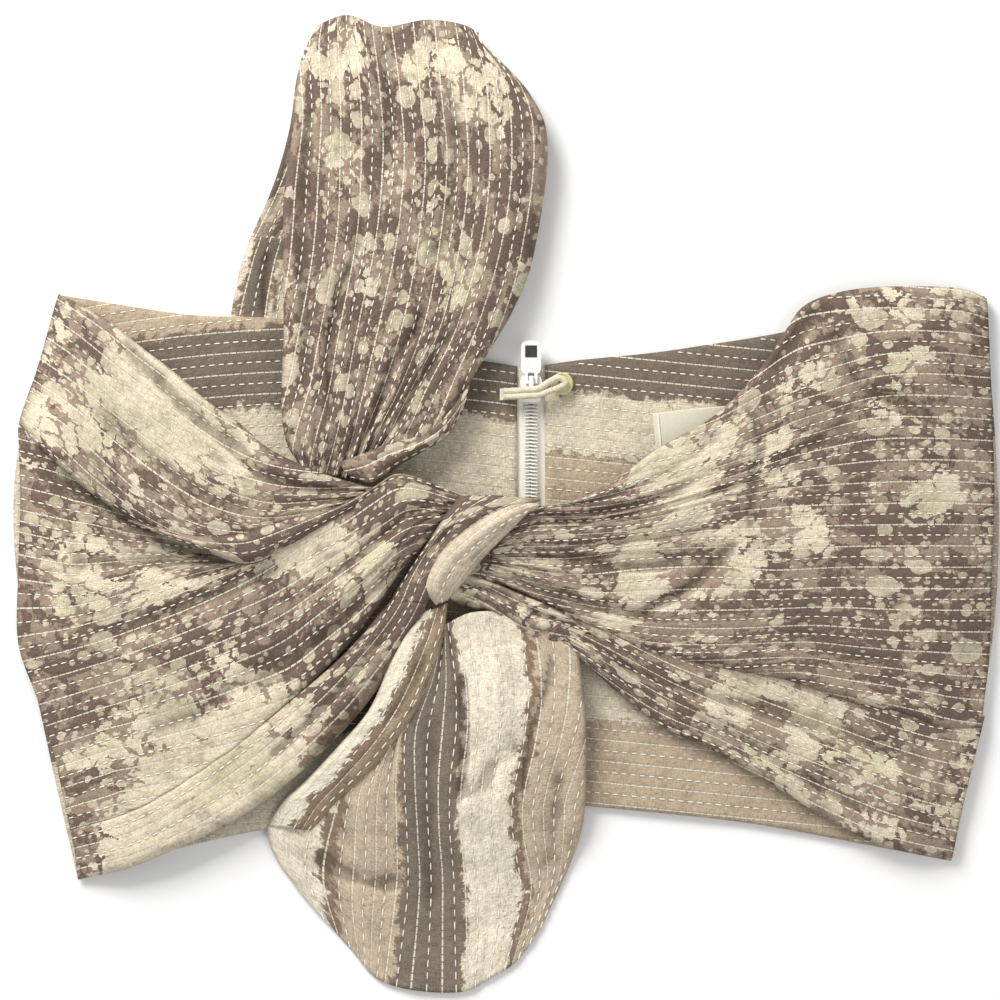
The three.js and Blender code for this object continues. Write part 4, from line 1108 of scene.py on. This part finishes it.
right_creases = [
    dict(path=[(135, 77), (143, 60), (152, 48), (166, 42), (184, 32)], depth=2.0, width=3.0, lap=-1.3),
    dict(path=[(108, 53), (117, 65), (127, 78), (140, 85)], depth=2.2, width=4.5),
    dict(path=[(96, 45), (103, 38), (107, 25), (104, 10), (102, -14)], depth=1.8, width=2.4, lap=0.8),
    dict(path=[(106, 15), (126, 23), (147, 39)], depth=1.3, width=3),
    dict(path=[(47, -49), (74, -37), (86, -26), (100, -13)], depth=2.0, width=3.0, lap=-0.9),
    dict(path=[(-1, -18), (24, -21), (51, -26), (81, -23)], depth=2.2, width=2.8, lap=1.0),
    dict(path=[(3, -10), (28, -13), (56, -10), (89, 0)], depth=-1.5, width=4.5),
    dict(path=[(9, -5), (35, -5), (60, 1), (83, 11)], depth=1.3, width=3),
    dict(path=[(-7, -25), (18, -36), (43, -44), (77, -49)], depth=1.7, width=2.6, lap=0.8),
    dict(path=[(119, 32), (144, 27), (173, 29)], depth=0.9, width=5),
    dict(path=[(110, -48), (144, -63), (177, -65)], depth=0.8, width=6),
    dict(path=[(64, -57), (98, -66), (135, -77), (169, -87)], depth=-1.0, width=4),
]
right_pale = [
    (60, 15, 16, 1.3), (90, 30, 18, 1.1), (75, 2, 16, 1.2), (42, 2, 14, -1.0), (105, 55, 14, -1.0),
    (130, 85, 16, -0.7), (170, 75, 26, 0.1), (185, 55, 14, 0.4), (140, 55, 18, 0.2), (130, 30, 18, 0.3),
    (184, 5, 14, 1.1), (124, -9, 12, 1.4), (95, -30, 12, 1.3), (60, -26, 22, 0.7), (30, -22, 16, -0.3),
    (150, -30, 30, -0.5), (185, -45, 22, -0.6), (115, -52, 24, -0.5), (150, 5, 20, -0.3),
    (65, -52, 16, 0.5), (110, -66, 14, 0.6), (175, -70, 20, -0.3), (140, -72, 10, 0.7), (10, -28, 14, 0.9),
]
right_print = camo_cotton("right_front_print", (150.0, 330.0, 0.0))
right_patch = lay_patch(right_guides, right_creases, roll=(3.2, 2.6), seed=61, gathers=(24, 1.6),
                        widest=0.1)
hemfold_guides = [
    [(187, -150, 4.8), (168, -146, 9.5), (154, -142, 10.5), (140, -135, 11), (126, -127, 11),
     (112, -118, 11), (98, -110, 11), (84, -102, 11), (65, -93, 11.5), (49, -81, 12.5), (32, -66, 14),
     (20, -57, 15.5)],
    [(192, -126, 5.0), (173, -121, 10.6), (152, -114, 11.2), (131, -106, 11.6), (110, -98, 11.6),
     (89, -88, 11.6), (68, -78, 12.2), (49, -67, 13.4), (35, -59, 14.8), (22, -52, 16)],
    [(201, -89, 4.6), (181, -87, 8), (160, -81, 8.4), (139, -74, 8.6), (119, -68, 8.8), (98, -64, 9),
     (77, -60, 9.6), (57, -54, 11), (40, -47, 12.6), (25, -42, 14)],
]
hemfold_creases = [
    dict(path=[(64, -82), (98, -99), (135, -120), (165, -134)], depth=1.1, width=3),
    dict(path=[(39, -63), (64, -74), (98, -84), (135, -97)], depth=1.3, width=3),
    dict(path=[(89, -78), (123, -88), (156, -101), (186, -111)], depth=1.2, width=5),
]
hemfold_pale = [
    (105, -72, 18, 1.2), (130, -88, 18, 1.2), (165, -108, 20, 0.9), (150, -122, 18, 0.8),
    (85, -92, 12, 0.2),
    (45, -66, 12, -0.8), (60, -80, 12, -1.0), (68, -70, 8, 1.2), (165, -85, 14, -1.2), (185, -120, 14, 0.2),
]
dress("right_front_panel", ["right_front_panel"], [right_patch], right_print, plain_reverse,
      "camo_cotton", pale=right_pale, seed=7)
hemfold_print = camo_cotton("right_hem_print", (520.0, 210.0, 0.0))
hemfold_patch = lay_patch(hemfold_guides, hemfold_creases, roll=(2.6, 0.6), seed=63, gathers=(12, 1.2),
                          widest=0.1)
dress("right_hem_fold", ["right_hem_fold"], [hemfold_patch], hemfold_print, plain_reverse,
      "camo_cotton", pale=hemfold_pale, seed=8)


# Knot --------------------------------------------------------------------------------------------
# The two fronts twist round each other once. The left front's hem width wraps over the gathered
# core, its pale reverse turned out as a lip, and the right front bunches in pleats below it.

core_patch = lay_patch([
    [(-37, -23, 14), (-28, -2, 17), (-7, 2, 18.5), (12, -6, 17), (16, -23, 14)],
    [(-39, -29, 14), (-26, -17, 20), (-12, -15, 21), (3, -19, 20), (14, -29, 14.5)],
    [(-37, -36, 13), (-24, -32, 17), (-12, -32, 18), (1, -34, 17), (12, -36, 13.5)],
], grain=1.6, roll=(1, 1), waves=0.8, seed=71, gathers=(8, 1), widest=0.5)
dress("knot_core", ["knot_core"], [core_patch], left_print, plain_reverse,
      "camo_cotton", seed=9)
dress("knot_wrap", ["knot_wrap"], [part_of(hem_patch, 0.74, 1)], left_print, plain_reverse,
      "camo_cotton", pale=hem_pale, seed=5)

lip_cotton = banded_cotton("lip_cream", [(0, srgb(212, 197, 174))], 40.0)
lip_guides = [
    [(-30, -42, 20), (-35, -34, 22.6), (-31, -24, 25.5), (-22, -14, 28.4), (-9, -5, 29), (2, -0, 27),
     (14, 1, 23)],
    [(-28, -41, 21), (-28, -34, 25), (-21, -23, 28.6), (-11, -14, 30.4), (-0, -6, 30), (14, 0, 24.4)],
    [(-25, -40, 20), (-17, -31, 23.8), (-9, -21, 27), (2, -10, 28.2), (9, -3, 26.4), (14, -0, 23.4)],
]
lip_creases = [
    dict(path=[(-29, -38), (-23, -26), (-12, -16), (2, -5)], depth=0.7, width=1.6),
    dict(path=[(-26, -37), (-19, -26), (-7, -15), (7, -1)], depth=0.6, width=1.4),
]
lip_patch = lay_patch(lip_guides, lip_creases, grain=1.0,
                      roll=(1.6, 2.2), waves=0.4, seed=73, gathers=(9, 0.4), widest=0.45)
dress("knot_lip", ["knot_lip"], [lip_patch], lip_cotton, left_print,
      "cream_cotton", seed=10, thickness=1.1)

pleat_guides = [
    [(-19, -28, 19.5), (-7, -32, 19.5), (5, -37, 18.5), (18, -42, 17.5), (30, -49, 16), (41, -57, 14.6)],
    [(-22, -33, 20), (-11, -36, 20.5), (0, -42, 19.6), (11, -47, 18.6), (23, -49, 17.4), (34, -53, 15.4)],
    [(-24, -37, 18.5), (-14, -40, 19.5), (-3, -46, 18.8), (6, -52, 17.6), (18, -55, 16.4), (30, -57, 15)],
    [(-25, -40, 16), (-16, -43, 16.6), (-5, -46, 16.4), (3, -54, 15.6), (16, -59, 14.6), (26, -60, 14)],
]
pleat_creases = [
    dict(path=[(-21, -31), (-3, -37), (12, -45), (33, -53)], depth=2.4, width=1.3, lap=1.2),
    dict(path=[(-23, -36), (-7, -41), (3, -49), (24, -56)], depth=2.4, width=1.3, lap=1.2),
    dict(path=[(-16, -29), (1, -34), (16, -41), (37, -53)], depth=1.6, width=1.1, lap=0.8),
    dict(path=[(-24, -39), (-12, -42), (-1, -49), (14, -58)], depth=1.6, width=1.1, lap=0.8),
    dict(path=[(-1, -39), (6, -42), (7, -49), (16, -54)], depth=-1.6, width=2),
]
pleat_pale = [(-10, -38, 26, 0.45), (30, -54, 12, -1.0)]
pleat_print = camo_cotton("knot_pleat_print", (90.0, 410.0, 0.0))
pleat_patch = lay_patch(pleat_guides, pleat_creases, grain=1.1, roll=(1.0, 2.4), waves=0.9, seed=75,
                        gathers=(5, 1.6), widest=0.5, tucked=0)
dress("knot_pleats", ["knot_pleats"], [pleat_patch], pleat_print, plain_reverse,
      "camo_cotton", pale=pleat_pale, seed=11)


# Tail --------------------------------------------------------------------------------------------
# The loose end of the twist hangs from the knot over the hem, banded side out and cut to a curve.
# Its left edge folds back on itself in a strip that shows the ivory and tan bands.

tail_guides = [
    [(-32, -59, 15.4), (-41, -78, 13.5), (-57, -99, 11.5), (-82, -116, 8.5), (-96, -126, 5.6),
     (-101, -137, 4.4), (-98, -148, 2.4), (-90, -160, 1.8)],
    [(-29, -57, 15.6), (-38, -80, 14.5), (-51, -100, 12.6), (-66, -120, 9.4), (-71, -141, 6.4),
     (-73, -162, 2.4), (-68, -185, 1.7)],
    [(-27, -53, 15.6), (-33, -74, 15.4), (-42, -94, 13.6), (-44, -113, 11.4), (-45, -136, 8),
     (-45, -161, 2.8), (-50, -202, 1.7)],
    [(-24, -49, 15.6), (-20, -74, 15.8), (-19, -94, 14.2), (-21, -116, 12.4), (-21, -136, 8.4),
     (-19, -161, 3.2), (-18, -205, 1.8)],
    [(-15, -45, 15.6), (-8, -74, 16), (-7, -97, 14.6), (-8, -120, 12), (-7, -140, 8), (-4, -168, 2.8),
     (-8, -200, 1.7)],
    [(-2, -45, 15.6), (6, -76, 15.8), (7, -99, 14.4), (6, -120, 12), (7, -140, 7.6), (10, -164, 2.6),
     (2, -194, 1.7)],
    [(29, -57, 13.8), (32, -78, 14.6), (33, -97, 14), (33, -113, 12.4), (32, -133, 7.6), (27, -150, 3),
     (16, -175, 1.8)],
]
tail_creases = [
    dict(path=[(-82, -143), (-74, -152), (-57, -159), (-41, -158)], depth=1.5, width=4),
    dict(path=[(7, -96), (-9, -114), (-21, -125)], depth=1.3, width=4.5),
    dict(path=[(-19, -65), (-18, -94), (-19, -116), (-23, -131)], depth=1.9, width=2.6),
    dict(path=[(19, -57), (15, -77), (8, -101), (6, -124)], depth=0.3, width=1.6, lap=-1.5),
    dict(path=[(-3, -57), (-4, -82), (-1, -107), (-3, -136)], depth=-1.4, width=5),
    dict(path=[(-28, -82), (-33, -111), (-33, -145), (-32, -183)], depth=0.8, width=4),
    dict(path=[(-58, -111), (-61, -136), (-59, -166), (-57, -187)], depth=-0.9, width=5),
    dict(path=[(22, -107), (20, -132), (16, -158)], depth=0.9, width=4),
]
# The tail's ivory, tan and grey are the reverse's band colours painted lighter, to make up for the shade
# that falls on the tail's slopes.
lit_tail_ivory, lit_tail_tan, lit_tail_grey = srgb(236, 226, 203), srgb(199, 181, 157), srgb(127, 116, 103)
tail_stripes = [(0, lit_tail_ivory), (12, band_brown), (16, lit_tail_tan), (43, lit_tail_grey), (66, lit_tail_ivory),
                (90, band_brown), (93, lit_tail_tan)]
tail_cotton = banded_cotton("tail_banded", tail_stripes, 130.0)
tail_patch = lay_patch(tail_guides, tail_creases, roll=(1.2, 1.6), waves=0.7, seed=81, gathers=(13, 1.8),
                       widest=0.58)
dress("front_tail", ["front_tail"], [tail_patch], tail_cotton, left_print,
      "banded_cotton", seed=12, gap=1.5, stretch=1.35)

strip_guides = [
    [(-40, -45, 14.6), (-46, -57, 15.4), (-57, -84, 14.8), (-70, -100, 13), (-85, -116, 10.6),
     (-95, -125, 8.4), (-101, -135, 5.8)],
    [(-33, -44, 16.6), (-41, -63, 17.2), (-51, -84, 16.6), (-62, -100, 15), (-75, -115, 12.6),
     (-85, -126, 10), (-91, -136, 7.4)],
    [(-25, -41, 17), (-27, -57, 17), (-34, -78, 16.6), (-45, -97, 15), (-61, -115, 12.4),
     (-73, -126, 9.6), (-82, -137, 6.6)],
]
strip_stripes = [(0, srgb(229, 221, 200)), (9, band_brown), (14, srgb(165, 145, 120))]
strip_cotton = banded_cotton("strip_banded", strip_stripes, 40.0)
strip_patch = lay_patch(strip_guides,
                        [dict(path=[(-33, -57), (-41, -78), (-56, -97)], depth=0.9, width=2.4)],
                        grain=1.2, roll=(2.0, 1.6), waves=0.5, seed=83, gathers=(9, 0.8), widest=0.5)
dress("tail_folded_strip", ["tail_folded_strip"], [strip_patch], strip_cotton, left_print,
      "banded_cotton", seed=13, gap=1.5, stretch=1.35)


# Shoulder strap ----------------------------------------------------------------------------------
# One broad strap of the doubled cotton. Its front half gathers into the knot, it folds over at the
# shoulder, and its back half lies on the table and joins the back band with its reverse outwards.

strap_guides = [
    [(-80, 202, 7.6), (-87, 186, 13), (-90, 158, 15), (-94, 128, 15.6), (-94, 99, 15.6),
     (-94, 69, 15.6), (-95, 44, 15.4), (-93, 27, 15.4), (-88, 18, 15.6)],
    [(-67, 206, 7.8), (-70, 178, 16), (-71, 149, 17), (-72, 116, 17), (-75, 80, 16.8), (-78, 50, 16.6),
     (-80, 32, 16.4), (-80, 13, 11.5)],
    [(-53, 201, 8), (-51, 174, 16.6), (-50, 145, 17.4), (-53, 111, 17.4), (-59, 78, 17),
     (-64, 48, 16.8), (-67, 29, 16.6), (-71, 12, 12)],
    [(-33, 204, 7.8), (-28, 174, 16.6), (-25, 145, 17.4), (-28, 111, 17.4), (-35, 78, 17),
     (-46, 50, 16.6), (-56, 31, 16.4), (-65, 11, 13)],
    [(-16, 201, 7.6), (-4, 174, 16), (-1, 145, 17), (-5, 111, 17), (-17, 78, 16.6), (-32, 52, 16.2),
     (-45, 31, 16), (-61, 14, 16)],
    [(-12, 196, 7), (10, 172, 13), (17, 149, 14.6), (11, 105, 14.8), (2, 81, 14.8), (-13, 56, 15),
     (-26, 34, 15.4), (-55, 11, 15.6)],
]
strap_creases = [
    dict(path=[(-59, 126), (-63, 107), (-70, 86), (-74, 67), (-73, 44), (-77, 27)], depth=2.4,
         width=2.4, lap=1.9),
    dict(path=[(-33, 92), (-36, 76), (-46, 62), (-51, 51), (-54, 38), (-61, 24)], depth=2.2, width=2.4,
         lap=1.6),
    dict(path=[(-53, 200), (-50, 181), (-49, 158), (-54, 134)], depth=1.6, width=4),
    dict(path=[(-28, 187), (-22, 158), (-25, 124), (-35, 90)], depth=0.9, width=5),
    dict(path=[(-83, 183), (-84, 149), (-86, 111), (-85, 74), (-86, 36)], depth=1.3, width=3.6),
    dict(path=[(-3, 162), (2, 136), (-3, 107), (-16, 78)], depth=-1.3, width=5),
    dict(path=[(-16, 86), (-28, 65), (-42, 44), (-54, 27)], depth=1.4, width=3),
    dict(path=[(-68, 86), (-68, 61), (-70, 40), (-71, 21)], depth=-1.5, width=3.4),
    dict(path=[(-37, 90), (-47, 67), (-57, 46), (-65, 27)], depth=-1.3, width=3.6),
    dict(path=[(-85, 52), (-85, 36), (-84, 21)], depth=-1.2, width=2.6),
]
rolled_guides = [
    [(-16, 51, 14.6), (-28, 36, 16), (-40, 29, 17.4), (-52, 25, 18.4), (-62, 21, 18.8), (-71, 18, 17.6)],
    [(-17, 45, 15), (-27, 32, 17), (-38, 25, 18.8), (-49, 21, 19.8), (-59, 16, 19.4), (-68, 14, 18)],
    [(-19, 40, 14.4), (-25, 29, 15.4), (-36, 22, 16.4), (-46, 16, 17.2), (-56, 9, 17.4), (-65, 11, 17)],
]
strap_pale = [
    (-68, 146, 10, 1.1), (-18, 168, 12, 1.1), (-30, 120, 10, 0.9), (-75, 195, 12, 0.6), (-60, 60, 14, -0.2),
    (-15, 85, 16, 0.1), (-75, 40, 16, -0.4), (-60, 105, 14, 0.4), (-40, 190, 14, 0.5), (0, 150, 14, -0.6),
    (-50, 160, 14, -0.7), (-80, 110, 14, -0.5), (-10, 120, 12, -0.5), (-45, 85, 12, -0.6),
    (-40, 30, 20, -1.3), (-85, 170, 10, -0.3), (-30, 60, 14, -0.6), (-70, 75, 10, -0.4),
]
strap_print = camo_cotton("strap_front_print", (20.0, 520.0, 0.0))
strap_patch = lay_patch(strap_guides, strap_creases, roll=(4.0, 4.0), waves=0.8, seed=91, gathers=(13, 2.4),
                        widest=0.35)
rolled_patch = lay_patch(rolled_guides,
                         [dict(path=[(-24, 34), (-41, 25), (-58, 18)], depth=0.9, width=1.8)],
                         grain=1.1, roll=(1.4, 2.0), waves=0.4, seed=93, gathers=(6, 0.8), widest=0.6)
dress("strap_front", ["strap_front"], [strap_patch, rolled_patch], strap_print, plain_reverse,
      "camo_cotton", pale=strap_pale, seed=14)

strap_back_guides = [
    [(-80, 201, 5.4), (-88, 183, 3.6), (-92, 158, 2.8), (-99, 134, 2.8), (-109, 111, 3.2)],
    [(-58, 201, 5.6), (-62, 178, 3), (-65, 158, 2.2), (-72, 134, 2), (-82, 111, 2)],
    [(-35, 201, 5.6), (-37, 178, 3), (-42, 158, 2.2), (-51, 134, 2), (-65, 111, 2)],
    [(-12, 199, 5.4), (-14, 176, 3.4), (-24, 153, 2.4), (-36, 132, 2.2), (-49, 112, 2.2)],
]
strap_back_print = camo_cotton("strap_back_print", (610.0, 90.0, 0.0))
strap_back_patch = lay_patch(strap_back_guides,
                             [dict(path=[(-87, 174), (-93, 145), (-101, 118)], depth=0.8, width=3)],
                             roll=(1.0, 1.0), waves=0.5, seed=95, gathers=(13, 0.8), widest=0.4)
dress("strap_back", ["strap_back"], [strap_back_patch], strap_back_print, plain_reverse,
      "camo_cotton", pale=[(-104, 116, 6, 1.2), (-96, 140, 14, -1.0)], seed=15,
      thickness=0.8)

strap_end_guides = [
    [(-108, 113, 3.8), (-112, 102, 3.4), (-115, 89, 2.8), (-117, 77, 2.6)],
    [(-91, 112, 3.0), (-94, 100, 3.0), (-96, 88, 2.4), (-97, 74, 2.2)],
    [(-70, 111, 2.6), (-72, 100, 2.6), (-75, 87, 2.2), (-78, 72, 2)],
    [(-50, 110, 2.4), (-54, 98, 2.4), (-60, 85, 2), (-66, 71, 2)],
]
strap_end_stripes = [(0, srgb(219, 206, 184)), (3, band_grey), (16, band_ivory), (30, band_tan)]
strap_end_cotton = banded_cotton("strap_end_banded", strap_end_stripes, 60.0)
strap_end_patch = lay_patch(strap_end_guides,
                            [dict(path=[(-100, 109), (-102, 92), (-103, 77)], depth=1.2, width=2)],
                            grain=1.2, roll=(1.2, 1.0), waves=0.5, seed=97, gathers=(12, 0.6), widest=0.3)
dress("strap_end", ["strap_end"], [strap_end_patch], strap_end_cotton, strap_back_print,
      "banded_cotton", seed=16, thickness=0.8)
